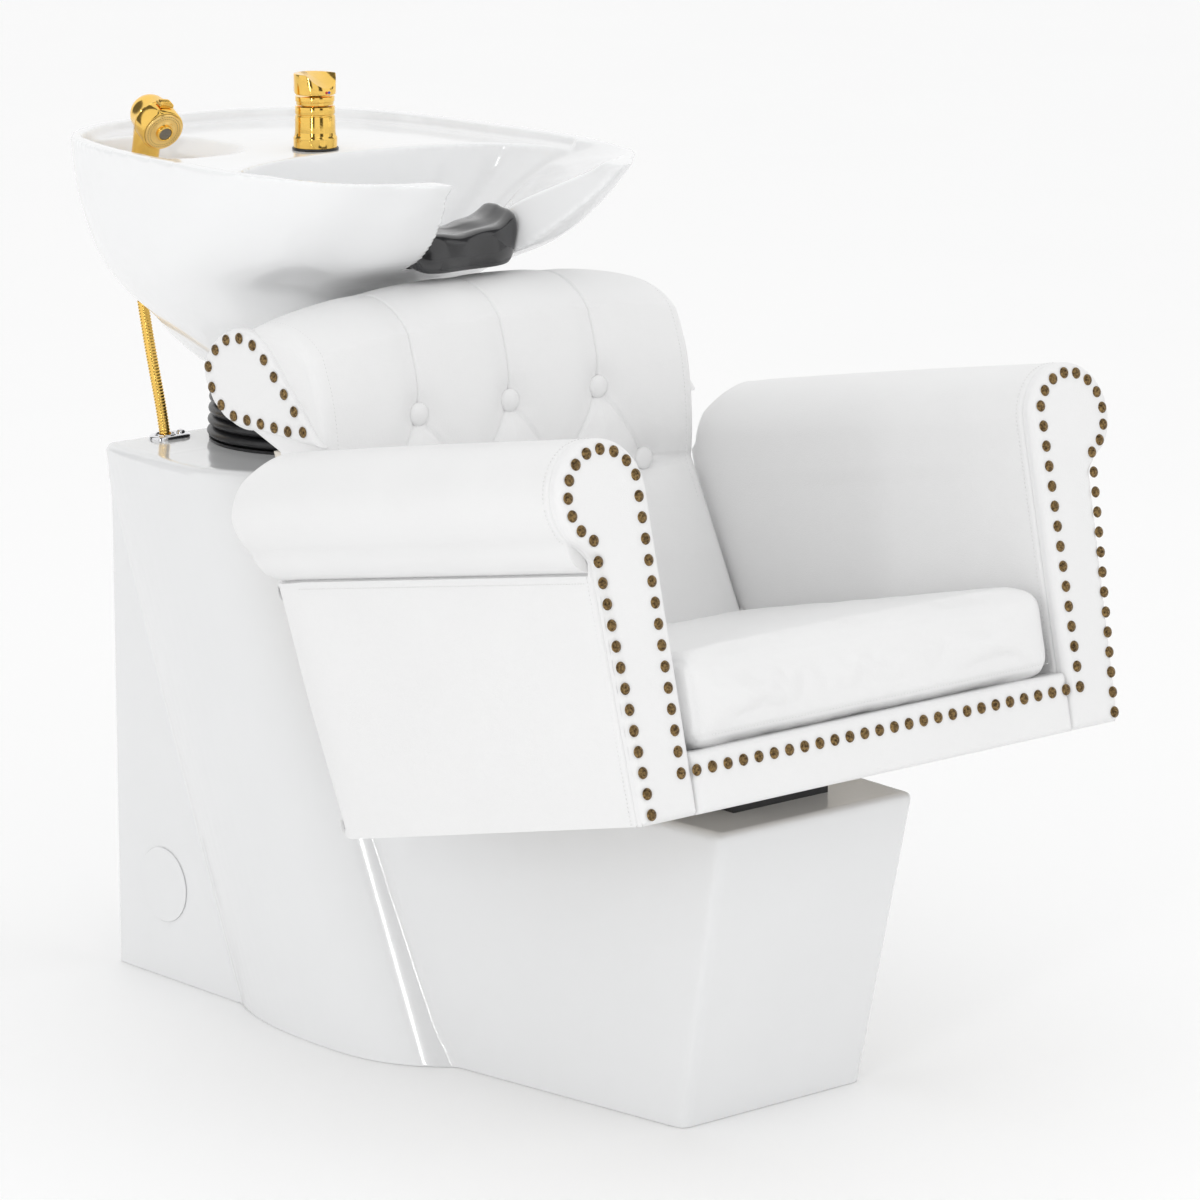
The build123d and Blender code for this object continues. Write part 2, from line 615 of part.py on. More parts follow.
with BuildPart() as bowl:
    add(bowl_outside.part)
    add(basin.part, mode=Mode.SUBTRACT)
    # Deck behind the basin, inside the rim band
    with BuildSketch(Plane.XY.offset(DECK_Z)):
        make_face(bowl_section_edges(235 - BOWL_WALL, -60, 573 - BOWL_WALL, 0))
        with Locations((0, -60)):
            Rectangle(500, 500, mode=Mode.SUBTRACT)
    extrude(amount=30, mode=Mode.SUBTRACT)
    # Lower shelf for the handset, rear left
    with BuildSketch(Plane.XY.offset(HANDSET_DECK_Z)):
        with Locations((-128, 445)):
            RectangleRounded(110, 150, 40)
    extrude(amount=100, mode=Mode.SUBTRACT)
    # Neck recess between the two wings
    with BuildSketch(Plane.XZ.offset(120)):
        with BuildLine():
            Polyline((-124, 930), (-62, 810), (62, 810), (124, 930), close=True)
        make_face()
    extrude(amount=-215, mode=Mode.SUBTRACT)
    # Hollow underside behind the basin, open to the rear below the rim band
    add(bowl_hollow.part, mode=Mode.SUBTRACT)
    with BuildSketch(Plane.XY.offset(NECK_Z)):
        with Locations((0, 374)):
            RectangleRounded(44, 50, 8)
    extrude(amount=50, mode=Mode.SUBTRACT)
    with BuildSketch(Plane.XY.offset(700)):
        with Locations((-20, 520)):
            RectangleRounded(270, 240, 30)
    extrude(amount=125, mode=Mode.SUBTRACT)
    # Holes for the mixer, the handset holder, the drain and the studs of the tilt plate
    add(drill((0, MIXER_Y, 840), (0, 0, 1), 17, 90), mode=Mode.SUBTRACT)
    add(drill(deck_spot - HANDLE_UP * 30, HANDLE_UP, 20, 60), mode=Mode.SUBTRACT)
    add(drill((0, DRAIN_Y, 640), (0, 0, 1), DRAIN_TAIL_R + 0.5, 150), mode=Mode.SUBTRACT)
    add(drill((0, DRAIN_Y, DRAIN_Z - 6), (0, 0, 1), DRAIN_FLANGE_R + 0.5, 10), mode=Mode.SUBTRACT)
    for x, y in STUD_SPOTS:
        add(drill((x, y, 640), (0, 0, 1), 4, 26), mode=Mode.SUBTRACT)
finish(bowl, "bowl")

# Gel saddle clipped over the lip of the neck recess
with BuildPart() as neck_rest:
    with BuildSketch(Plane.XZ.offset(-44)):
        with BuildLine():
            Polyline(
                (-90, 866), (-62.5, 811.8), (62.5, 811.8), (90, 866), (76, 866), (54, 828), (0, 821),
                (-54, 828), (-76, 866), close=True,
            )
        make_face()
    extrude(amount=-50)
finish(neck_rest, "neck_rest")

# ------------------------------------------------------------------ drain and tilt bracket
with BuildPart() as drain_tail:
    add(drill((0, DRAIN_Y, DRAIN_Z - 6), (0, 0, 1), DRAIN_FLANGE_R, 3))
    add(drill((0, DRAIN_Y, 612), (0, 0, 1), DRAIN_TAIL_R, DRAIN_Z - 6 - 612))
    add(drill((0, DRAIN_Y, 600), (0, 0, 1), DRAIN_TAIL_R - 2.5, 160), mode=Mode.SUBTRACT)
finish(drain_tail, "drain_tail")

with BuildPart() as strainer:
    add(drill((0, DRAIN_Y, DRAIN_Z - 2.7), (0, 0, 1), DRAIN_FLANGE_R - 2, 2))
    add(drill((0, DRAIN_Y, DRAIN_Z - 14), (0, 0, 1), DRAIN_TAIL_R - 3, 12))
    add(drill((0, DRAIN_Y, DRAIN_Z - 15), (0, 0, 1), DRAIN_TAIL_R - 4.5, 12.3), mode=Mode.SUBTRACT)
    with Locations((0, DRAIN_Y, DRAIN_Z - 6)):
        with PolarLocations(6, 6):
            Cylinder(1.8, 12, mode=Mode.SUBTRACT)
finish(strainer, "strainer")

with BuildPart() as waste_sleeve:
    add(drill((0, DRAIN_Y, 560), (0, 0, 1), WASTE_R + 3, 64))
    add(drill((0, DRAIN_Y, 550), (0, 0, 1), WASTE_R + 0.02, 80), mode=Mode.SUBTRACT)
finish(waste_sleeve, "waste_sleeve")

LUG_X = 48.0
with BuildPart() as tilt_plate:
    with Locations((0, NECK_Y, NECK_Z)):
        Cylinder(49, 6, align=(Align.CENTER, Align.CENTER, Align.MIN))
    with Locations((0, PIVOT_Y, NECK_Z + 3)):
        Box(2 * LUG_X + 8, 32, 6)
    for side in (-1, 1):
        with BuildSketch(SIDE.offset(side * LUG_X - 4)):
            with Locations((PIVOT_Y, (PIVOT_Z + NECK_Z) / 2 - 6)):
                Rectangle(30, NECK_Z - PIVOT_Z + 14)
            with Locations((PIVOT_Y, PIVOT_Z)):
                Circle(PIN_R, mode=Mode.SUBTRACT)
        extrude(amount=8)
    for x, y in STUD_SPOTS:
        add(drill((x, y, 630), (0, 0, 1), 4, 26), mode=Mode.SUBTRACT)
finish(tilt_plate, "tilt_plate")

with BuildPart() as tilt_pins:
    for side in (-1, 1):
        with Locations((side * (LUG_X + POST_X) / 2 + side * 2, PIVOT_Y, PIVOT_Z)):
            Cylinder(PIN_R, POST_X - LUG_X + 16, rotation=(0, 90, 0))
finish(tilt_pins, "tilt_pins")

with BuildPart() as bowl_studs:
    for x, y in STUD_SPOTS:
        add(drill((x, y, 634), (0, 0, 1), 3.95, 31))
        add(drill((x, y, 633.9), (0, 0, 1), 7, 6))
finish(bowl_studs, "bowl_studs")

# ------------------------------------------------------------------ mixer tap
MIXER_TOP = 992.0
with BuildPart() as mixer_gasket:
    add(drill((0, MIXER_Y, DECK_Z), (0, 0, 1), 25, 2))
    add(drill((0, MIXER_Y, DECK_Z), (0, 0, 1), 17, 2), mode=Mode.SUBTRACT)
finish(mixer_gasket, "mixer_gasket")

with BuildPart() as mixer_body:
    with BuildSketch(SIDE):
        with BuildLine():
            base = DECK_Z + 2
            Polyline(
                (MIXER_Y, 840), (MIXER_Y + 16.5, 840), (MIXER_Y + 16.5, base), (MIXER_Y + 24, base),
                (MIXER_Y + 24, base + 11), (MIXER_Y + BARREL_R, base + 13), (MIXER_Y + BARREL_R, 956),
                (MIXER_Y + BARREL_R - 1, 957), (MIXER_Y, 957), close=True,
            )
        make_face()
    revolve(axis=Axis((0, MIXER_Y, 0), (0, 0, 1)))
    # Pocket for the cartridge
    add(drill((0, MIXER_Y, 925), (0, 0, 1), 15.05, 40), mode=Mode.SUBTRACT)
finish(mixer_body, "mixer_body")

with BuildPart() as mixer_nut:
    # Clamp washer under the deck, then the nut
    add(drill((0, MIXER_Y, 846), (0, 0, 1), 26, 3))
    with Locations((0, MIXER_Y, 841)):
        Cylinder(23, 5, align=(Align.CENTER, Align.CENTER, Align.MIN))
    add(drill((0, MIXER_Y, 840), (0, 0, 1), 16.55, 20), mode=Mode.SUBTRACT)
finish(mixer_nut, "mixer_nut")

with BuildPart() as hose_union:
    add(drill((0, MIXER_Y, 826), (0, 0, 1), 16, 14))
    with Locations((0, MIXER_Y + 20, 833)):
        Box(22, 46, 12)
    add(drill((0, MIXER_Y + 34, 815), (0, 0, 1), 9, 14))
finish(hose_union, "hose_union")

# The cartridge turns in the body and carries the collar below the lever
with BuildPart() as cartridge:
    add(drill((0, MIXER_Y, 926), (0, 0, 1), 15, 32))
    add(drill((0, MIXER_Y, 957.5), (0, 0, 1), BARREL_R - 1.5, 3.5))
    add(drill((0, MIXER_Y, 961), (0, 0, 1), BARREL_R - 0.5, 6))
    with Locations((0, MIXER_Y, 972)):
        Box(10, 10, 12)
    with Locations((0, MIXER_Y, 973)):
        Cylinder(2.5, 14, rotation=(0, 90, 0))
finish(cartridge, "cartridge")

LEVER_PIVOT_Z = 973.0
with BuildPart() as mixer_lever:
    add(drill((0, MIXER_Y, 968.5), (0, 0, 1), BARREL_R + 1, MIXER_TOP - 968.5))
    # Room for the cartridge head and its cross pin
    with Locations((0, MIXER_Y, 973)):
        Box(14.5, 17, 16, mode=Mode.SUBTRACT)
    # Top slopes down to the front, and the rear skirt is relieved for the lift
    with BuildSketch(SIDE.offset(-40)):
        with BuildLine():
            Polyline((270, 979), (MIXER_Y + BARREL_R + 1, MIXER_TOP), (330, 1010), (270, 1010), close=True)
        make_face()
        with BuildLine():
            Polyline((MIXER_Y + 2, 960), (330, 960), (330, 981), (MIXER_Y + 2, 968.5), close=True)
        make_face()
    extrude(amount=80, mode=Mode.SUBTRACT)
    with Locations((0, MIXER_Y, LEVER_PIVOT_Z)):
        Cylinder(2.55, 14.4, rotation=(0, 90, 0), mode=Mode.SUBTRACT)
finish(mixer_lever, "mixer_lever")

# ------------------------------------------------------------------ handset
with BuildPart() as handset_holder:
    add(drill(deck_spot - HANDLE_UP * 26, HANDLE_UP, 19.5, 26))
    add(drill(deck_spot + HANDLE_UP * 3.8, HANDLE_UP, 24, 5))
    add(drill(deck_spot, HANDLE_UP, 19.5, 5))
    add(drill(deck_spot - HANDLE_UP * 30, HANDLE_UP, 15.5, 60), mode=Mode.SUBTRACT)
finish(handset_holder, "handset_holder")

HEAD_R, HEAD_LENGTH = 24.0, 36.0
with BuildPart() as handset_body:
    add(Plane(origin=HEAD_CENTRE) * Sphere(HEAD_R - 2, mode=Mode.PRIVATE))
    with BuildSketch(Plane(origin=HEAD_CENTRE, z_dir=SPRAY_OUT)):
        Circle(HEAD_R - 2)
    with BuildSketch(Plane(origin=HEAD_CENTRE + SPRAY_OUT * 12, z_dir=SPRAY_OUT)):
        Circle(HEAD_R)
    loft()
    add(drill(HEAD_CENTRE + SPRAY_OUT * 12, SPRAY_OUT, HEAD_R, HEAD_LENGTH - 14))
    add(drill(HEAD_CENTRE + SPRAY_OUT * 28, SPRAY_OUT, HEAD_R - 2, 20), mode=Mode.SUBTRACT)
    with BuildSketch(Plane(origin=handle_foot, z_dir=HANDLE_UP)):
        Circle(12)
    with BuildSketch(Plane(origin=handle_foot + HANDLE_UP * 60, z_dir=HANDLE_UP)):
        Circle(15)
    loft()
    add(drill(handle_foot + HANDLE_UP * 60, HANDLE_UP, 15, 52))
finish(handset_body, "handset_body")

with BuildPart() as spray_face:
    add(drill(HEAD_CENTRE + SPRAY_OUT * 28.2, SPRAY_OUT, HEAD_R - 2.1, 8.3))
    add(drill(HEAD_CENTRE + SPRAY_OUT * 28.2, SPRAY_OUT, 9.5, 8.4), mode=Mode.SUBTRACT)
finish(spray_face, "spray_face")

with BuildPart() as aerator:
    add(drill(HEAD_CENTRE + SPRAY_OUT * 28.2, SPRAY_OUT, 9.4, 12.8))
    add(drill(HEAD_CENTRE + SPRAY_OUT * 38, SPRAY_OUT, 7, 5), mode=Mode.SUBTRACT)
finish(aerator, "aerator")

# Spray selector on top of the head, slides along the head's axis
selector_up = (HANDLE_UP - SPRAY_OUT * HANDLE_UP.dot(SPRAY_OUT)).normalized()
with BuildPart() as spray_selector:
    add(
        Plane(origin=HEAD_CENTRE + SPRAY_OUT * 20 + selector_up * (HEAD_R + 3.4), x_dir=SPRAY_OUT,
              z_dir=selector_up) * Box(12, 16, 6, mode=Mode.PRIVATE)
    )
finish(spray_selector, "spray_selector")

with BuildPart() as hose_nut:
    add(drill(handle_foot - HANDLE_UP * 16, HANDLE_UP, 9.5, 16))
finish(hose_nut, "hose_nut")

# Metal hose: handset, guide plate, hanging loop inside the base, union under the mixer
hose_start = handle_foot - HANDLE_UP * 16
HOSE_ROUTE = [
    (hose_start.X, hose_start.Y, hose_start.Z), (-134, 448, 770), (-131, 434, 690), (-127, 413, 600),
    (-125, 402, 490), (-126, 396, 350), (-126, 393, 205), (-126, 392, 107), (-89, 391, 70), (-37, 390, 70),
    (0, 389, 107), (1, 388, 205), (0, 388, 350), (-1, 387, 490), (0, 380, 610), (0, 358, 710),
    (0, MIXER_Y + 34, 775), (0, MIXER_Y + 34, 814.9),
]


def route_radii(route):
    """Arc radius at each inner corner: 0.45 of the shorter run over the tangent of half the turn."""
    radii = []
    for before, here, after in zip(route, route[1:], route[2:]):
        run_in, run_out = Vector(*here) - Vector(*before), Vector(*after) - Vector(*here)
        half_turn = radians(run_in.get_angle(run_out) / 2)
        radii.append(0.45 * min(run_in.length, run_out.length) / tan(half_turn))
    return radii


hose_radii = route_radii(HOSE_ROUTE)
with BuildPart() as hose:
    with BuildLine() as hose_line:
        FilletPolyline(*HOSE_ROUTE, radius=hose_radii)
    start_dir = Vector(*HOSE_ROUTE[1]) - Vector(*HOSE_ROUTE[0])
    with BuildSketch(Plane(origin=HOSE_ROUTE[0], z_dir=start_dir)):
        Circle(HOSE_R)
    sweep(path=hose_line.wires()[0])
finish(hose, "hose")
hose_length = hose_line.wires()[0].length
print("hose radii / diameters", [round(r / (2 * HOSE_R), 1) for r in hose_radii])
print("hose length", round(hose_length), "volume ratio",
      round(hose.part.volume / (pi * HOSE_R ** 2 * hose_length), 4))
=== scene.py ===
"""Looks of the shampoo backwash unit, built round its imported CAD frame.  Metres, +Z up, sitter faces -Y."""
from math import atan2, copysign, cos, exp, pi, radians, sin, sqrt

import bmesh
import bpy
import numpy as np
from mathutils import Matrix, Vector


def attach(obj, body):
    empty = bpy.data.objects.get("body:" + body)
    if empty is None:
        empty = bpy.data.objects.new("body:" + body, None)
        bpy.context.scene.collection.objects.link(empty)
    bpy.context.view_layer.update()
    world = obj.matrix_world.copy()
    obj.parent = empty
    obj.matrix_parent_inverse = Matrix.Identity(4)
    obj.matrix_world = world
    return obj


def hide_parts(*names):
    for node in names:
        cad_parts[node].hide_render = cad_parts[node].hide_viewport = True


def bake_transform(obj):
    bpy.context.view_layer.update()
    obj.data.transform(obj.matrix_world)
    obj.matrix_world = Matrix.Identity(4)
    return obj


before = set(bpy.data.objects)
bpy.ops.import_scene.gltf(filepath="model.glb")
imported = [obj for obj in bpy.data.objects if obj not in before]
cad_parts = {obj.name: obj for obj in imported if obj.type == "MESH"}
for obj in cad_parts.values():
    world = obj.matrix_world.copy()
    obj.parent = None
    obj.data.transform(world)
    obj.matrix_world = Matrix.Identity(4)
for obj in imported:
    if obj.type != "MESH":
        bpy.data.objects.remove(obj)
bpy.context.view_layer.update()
MM = 0.001

# ------------------------------------------------------------------ driving places, in metres
SEAT_TILT = radians(12.83)
SEAT_Y, SEAT_Z = -0.608, 0.384
OUT = Vector((0, -cos(SEAT_TILT), sin(SEAT_TILT)))     # out of the seat's front face
UP = Vector((0, sin(SEAT_TILT), cos(SEAT_TILT)))       # up the seat's front face
ARM_INNER, ARM_OUTER = 0.257, 0.324
ARM_NECK_X, ARM_NECK_W = 0.334, 0.255
SCROLL_X, SCROLL_W, SCROLL_R = 0.317, 0.316, 0.056
SCROLL_RISE = 0.024
ROLL_LOW, ROLL_LOW_CREASED = radians(-40), radians(-44)     # where the roll's arc starts, outside
CREASE_DROP = 0.0125                                   # side seam below the neck
PANEL_T = 0.014
RAIL_H, RAIL_T = 0.060, 0.040
BACK_HALF = 0.255
END_T = 0.006
NAIL_H = 0.0032
MIXER_Y = 0.302
DECK_Z, RIM_Z = 0.909, 0.921
BASE_TOP_Z, BASE_REAR_Y, BASE_WALL = 0.589, 0.435, 0.005
BASE_HALF = 0.190
NECK_Y = 0.313
GUIDE_X, GUIDE_Y = -0.127, 0.413                       # where the hose enters the base
CAP_Y, CAP_Z = 0.345, 0.106                            # service cap in the base's left side


def seat(x, v, w):
    """World point x across, v back along the seat and w up its front face."""
    return Vector((x, SEAT_Y, SEAT_Z)) - OUT * v + UP * w


# ------------------------------------------------------------------ mesh helpers
def new_object(name, verts, faces, flat_angle=40):
    """Mesh object from points and faces, smooth apart from edges sharper than flat_angle."""
    mesh = bpy.data.meshes.new(name)
    mesh.from_pydata([tuple(v) for v in verts], [], [tuple(f) for f in faces])
    obj = bpy.data.objects.new(name, mesh)
    bpy.context.collection.objects.link(obj)
    return tidy(obj, flat_angle)


def tidy(obj, flat_angle=40):
    """Outward normals and smooth shading."""
    bm = bmesh.new()
    bm.from_mesh(obj.data)
    bmesh.ops.remove_doubles(bm, verts=bm.verts, dist=1e-6)
    bmesh.ops.recalc_face_normals(bm, faces=bm.faces)
    bm.to_mesh(obj.data)
    bm.free()
    obj.data.shade_smooth()
    obj.data.set_sharp_from_angle(angle=radians(flat_angle))
    return obj


def modify(obj, kind, **settings):
    """Adds a modifier with the given settings."""
    modifier = obj.modifiers.new(kind.lower(), kind)
    for name, value in settings.items():
        setattr(modifier, name, value)


def bake(obj, flat_angle=40):
    """Applies every modifier."""
    bpy.context.view_layer.update()
    graph = bpy.context.evaluated_depsgraph_get()
    mesh = bpy.data.meshes.new_from_object(obj.evaluated_get(graph))
    obj.modifiers.clear()
    obj.data = mesh
    return tidy(obj, flat_angle)


def ring_faces(rings, count, closed=True, offset=0):
    """Quads between successive rings of count points."""
    faces = []
    for r in range(rings - 1):
        for k in range(count if closed else count - 1):
            a = offset + r * count + k
            b = offset + r * count + (k + 1) % count
            faces.append((a, b, b + count, a + count))
    return faces


def tube(name, rings, flat_angle=40, caps=True):
    """Closed skin through rings of points."""
    count = len(rings[0])
    verts = [p for ring in rings for p in ring]
    faces = ring_faces(len(rings), count)
    if caps:
        faces.append(tuple(range(count))[::-1])
        faces.append(tuple(range(len(verts) - count, len(verts))))
    return new_object(name, verts, faces, flat_angle)


def round_angles(count):
    """Angles of count even steps round a circle."""
    return [2 * pi * k / count for k in range(count)]


def frame_of(axis):
    """Two unit vectors square to axis."""
    axis = Vector(axis).normalized()
    side = axis.cross(Vector((0, 0, 1)) if abs(axis.z) < 0.9 else Vector((0, 1, 0))).normalized()
    return side, axis.cross(side).normalized()


def lathe(name, origin, axis, profile, steps=48, flat_angle=40):
    """Skin turned round axis; profile is a list of (radius, distance along the axis)."""
    origin, axis = Vector(origin), Vector(axis).normalized()
    u, v = frame_of(axis)
    rings = []
    for r, h in profile:
        rings.append([origin + axis * h + (u * cos(a) + v * sin(a)) * max(r, 1e-5)
                      for a in round_angles(steps)])
    return tube(name, rings, flat_angle)


def soft_corners(points, radius, steps=4):
    """Rounds the corners of an open (r, h) profile."""
    result = [Vector(points[0]).to_2d()]
    for before, here, after in zip(points, points[1:], points[2:]):
        a, b, c = Vector(before).to_2d(), Vector(here).to_2d(), Vector(after).to_2d()
        cut = min(radius, 0.45 * (a - b).length, 0.45 * (c - b).length)
        start, stop = b + (a - b).normalized() * cut, b + (c - b).normalized() * cut
        for k in range(steps + 1):
            t = k / steps
            result.append(start * (1 - t) ** 2 + b * 2 * t * (1 - t) + stop * t ** 2)
    result.append(Vector(points[-1]).to_2d())
    return [tuple(p) for p in result]


def join_meshes(name, objects, flat_angle=40):
    """One object from several; the parts are removed."""
    verts, faces = [], []
    for obj in objects:
        start = len(verts)
        verts += [obj.matrix_world @ v.co for v in obj.data.vertices]
        faces += [tuple(start + i for i in p.vertices) for p in obj.data.polygons]
        bpy.data.objects.remove(obj)
    return new_object(name, verts, faces, flat_angle)


def boolean(obj, other, operation="DIFFERENCE", solver="EXACT"):
    """Applies a boolean with other, which is then removed."""
    modify(obj, "BOOLEAN", operation=operation, solver=solver, object=other)
    bake(obj)
    bpy.data.objects.remove(other)
    return obj


def remesh(obj, voxel, smooth_steps, flat_angle=60):
    """Even quads of the given size, then smoothing, which rounds the edges."""
    modify(obj, "REMESH", mode="VOXEL", voxel_size=voxel)
    modify(obj, "SMOOTH", factor=0.5, iterations=smooth_steps)
    return bake(obj, flat_angle)


def get_points(obj):
    co = np.empty(len(obj.data.vertices) * 3)
    obj.data.vertices.foreach_get("co", co)
    return co.reshape(-1, 3)


def set_points(obj, points):
    obj.data.vertices.foreach_set("co", np.ascontiguousarray(points, dtype=np.float32).ravel())
    obj.data.update()


def lift_to_floor(obj):
    """Brings points that lie under the floor up to it."""
    points = get_points(obj)
    points[:, 2] = np.maximum(points[:, 2], 0)
    set_points(obj, points)


def get_normals(obj):
    no = np.empty(len(obj.data.vertices) * 3)
    obj.data.vertex_normals.foreach_get("vector", no)
    return no.reshape(-1, 3)


def smoothstep(a, b, x):
    t = np.clip((x - a) / (b - a), 0, 1)
    return t * t * (3 - 2 * t)


def segment_distance(p, a, b):
    """Distance of points p from the segment a-b, and how far along it they are, 0 to 1."""
    a, b = np.asarray(a, float), np.asarray(b, float)
    d = b - a
    t = np.clip(((p - a) @ d) / (d @ d), 0, 1)
    return np.linalg.norm(p - a - t[:, None] * d, axis=1), t


def inflate(obj, pressure, cap, frames=20):
    """Cloth under inner pressure; no point moves further than cap."""
    rest = get_points(obj)
    modifier = obj.modifiers.new("cloth", "CLOTH")
    cloth = modifier.settings
    cloth.quality = 4
    cloth.mass = 0.3
    cloth.tension_stiffness = cloth.compression_stiffness = 12
    cloth.bending_stiffness = 2
    cloth.use_pressure = True
    cloth.uniform_pressure_force = pressure
    cloth.effector_weights.gravity = 0
    modifier.point_cache.frame_start = 1
    modifier.point_cache.frame_end = frames
    for number in range(1, frames + 1):
        bpy.context.scene.frame_set(number)
    graph = bpy.context.evaluated_depsgraph_get()
    moved = get_points(obj.evaluated_get(graph))
    step = moved - rest
    length = np.linalg.norm(step, axis=1, keepdims=True)
    step *= np.minimum(1, cap / np.maximum(length, 1e-9))
    obj.modifiers.clear()
    set_points(obj, rest + step)
    bpy.context.scene.frame_set(1)
    return obj


def place(obj, body, slot, material, *nodes):
    """Rides a finished piece on its body, with its material and the CAD nodes it stands for; slot is not
    used.
    """
    obj.data.materials.clear()
    obj.data.materials.append(material)
    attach(obj, body)
    if nodes:
        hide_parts(*nodes)
    return obj


# ------------------------------------------------------------------ materials
def material(name, color, rough, metal=0.0, coat=0.0, spread=0.03, rough_spread=0.05, scale=9.0,
             bumps=(), sheen=0.0, specular=0.5, second=None):
    """Principled material; noise varies colour and roughness, and bumps are (kind, scale, strength)."""
    mat = bpy.data.materials.new(name)
    mat.use_nodes = True
    tree = mat.node_tree
    links = tree.links
    shader = tree.nodes["Principled BSDF"]
    shader.inputs["Metallic"].default_value = metal
    shader.inputs["Coat Weight"].default_value = coat
    shader.inputs["Coat Roughness"].default_value = 0.04
    shader.inputs["Sheen Weight"].default_value = sheen
    shader.inputs["Specular IOR Level"].default_value = specular
    where = tree.nodes.new("ShaderNodeTexCoord")
    cloud = tree.nodes.new("ShaderNodeTexNoise")
    cloud.inputs["Scale"].default_value = scale
    cloud.inputs["Detail"].default_value = 5
    links.new(where.outputs["Object"], cloud.inputs["Vector"])
    ramp = tree.nodes.new("ShaderNodeValToRGB")
    dark = second or [c * (1 - spread) for c in color]
    ramp.color_ramp.elements[0].position = 0.35
    ramp.color_ramp.elements[0].color = (*dark, 1)
    ramp.color_ramp.elements[1].position = 0.65
    ramp.color_ramp.elements[1].color = (*color, 1)
    links.new(cloud.outputs["Fac"], ramp.inputs["Fac"])
    links.new(ramp.outputs["Color"], shader.inputs["Base Color"])
    roughness = tree.nodes.new("ShaderNodeMapRange")
    roughness.inputs["To Min"].default_value = max(0.02, rough - rough_spread)
    roughness.inputs["To Max"].default_value = rough + rough_spread
    links.new(cloud.outputs["Fac"], roughness.inputs["Value"])
    links.new(roughness.outputs["Result"], shader.inputs["Roughness"])
    above = None
    for kind, size, strength in bumps:
        if kind == "cells":
            pattern = tree.nodes.new("ShaderNodeTexVoronoi")
            height = pattern.outputs["Distance"]
        else:
            pattern = tree.nodes.new("ShaderNodeTexNoise")
            pattern.inputs["Detail"].default_value = 3
            height = pattern.outputs["Fac"]
        pattern.inputs["Scale"].default_value = size
        links.new(where.outputs["Object"], pattern.inputs["Vector"])
        bump = tree.nodes.new("ShaderNodeBump")
        bump.inputs["Strength"].default_value = strength
        bump.inputs["Distance"].default_value = 0.001
        links.new(height, bump.inputs["Height"])
        if above:
            links.new(above.outputs["Normal"], bump.inputs["Normal"])
        above = bump
    if above:
        links.new(above.outputs["Normal"], shader.inputs["Normal"])
    return mat


LEATHER_BUMPS = (("noise", 14, 0.5), ("cells", 900, 0.16), ("noise", 260, 0.12))
leather = material("white leatherette", (0.83, 0.83, 0.83), 0.42, spread=0.012, bumps=LEATHER_BUMPS,
                   sheen=0.05)
thread = material("white thread", (0.76, 0.76, 0.755), 0.6, spread=0.08, scale=300, bumps=(("noise", 900,
                                                                                            0.3),))
gelcoat = material("white gelcoat", (0.79, 0.795, 0.80), 0.13, coat=0.6, spread=0.01, rough_spread=0.03,
                   bumps=(("noise", 10, 0.25), ("noise", 160, 0.03)))
glaze = material("white glaze", (0.89, 0.895, 0.90), 0.10, coat=0.25, specular=0.4, spread=0.01,
                 rough_spread=0.03,
                 bumps=(("noise", 12, 0.2), ("noise", 120, 0.03)))
gold = material("polished gold", (0.98, 0.63, 0.15), 0.10, metal=1.0, spread=0.08, rough_spread=0.04,
                scale=40,
                bumps=(("noise", 30, 0.1), ("noise", 500, 0.03)))
gold_satin = material("satin gold", (0.98, 0.68, 0.24), 0.24, metal=1.0, spread=0.06, scale=120,
                      bumps=(("noise", 700, 0.08),))
chrome = material("polished chrome", (0.80, 0.80, 0.82), 0.08, metal=1.0, spread=0.05, scale=60,
                  bumps=(("noise", 400, 0.03),))
brass_old = material("antique brass", (0.34, 0.225, 0.095), 0.32, metal=1.0, second=(0.075, 0.048, 0.026),
                     rough_spread=0.1, scale=420, bumps=(("noise", 900, 0.35),))
gel = material("black gel", (0.018, 0.018, 0.020), 0.17, spread=0.5, rough_spread=0.07, scale=40, coat=0.6,
               bumps=(("noise", 40, 0.6), ("noise", 300, 0.12)))
rubber = material("black rubber", (0.022, 0.022, 0.024), 0.36, spread=0.4, scale=60, bumps=(("noise", 500,
                                                                                             0.2),))
black_steel = material("satin black paint", (0.03, 0.03, 0.032), 0.4, spread=0.3, scale=40,
                       bumps=(("noise", 500, 0.25),))
grey_steel = material("grey powder coat", (0.32, 0.33, 0.35), 0.5, spread=0.08, scale=50,
                      bumps=(("noise", 1400, 0.35),))
zinc = material("zinc plate", (0.66, 0.67, 0.70), 0.3, metal=1.0, spread=0.2, scale=90, bumps=(("cells",
                                                                                                300, 0.1),))
acetal = material("acetal", (0.75, 0.74, 0.70), 0.45, spread=0.05, bumps=(("noise", 400, 0.1),))
pipe_grey = material("grey pipe", (0.45, 0.46, 0.47), 0.38, spread=0.06, bumps=(("noise", 120, 0.1),))
raw_brass = material("raw brass", (0.78, 0.58, 0.28), 0.28, metal=1.0, spread=0.15, scale=70,
                     bumps=(("noise", 300, 0.15),))
plywood = material("birch plywood", (0.78, 0.74, 0.68), 0.6, second=(0.70, 0.65, 0.58), scale=26,
                   bumps=(("noise", 200, 0.4),))
mesh_grey = material("aerator mesh", (0.50, 0.50, 0.48), 0.35, metal=1.0, second=(0.12, 0.12, 0.12),
                     scale=2600,
                     bumps=(("cells", 2400, 1.0),))
mark_red = material("red mark", (0.55, 0.03, 0.03), 0.3, spread=0.1, bumps=(("noise", 300, 0.1),))
mark_blue = material("blue mark", (0.03, 0.06, 0.45), 0.3, spread=0.1, bumps=(("noise", 300, 0.1),))
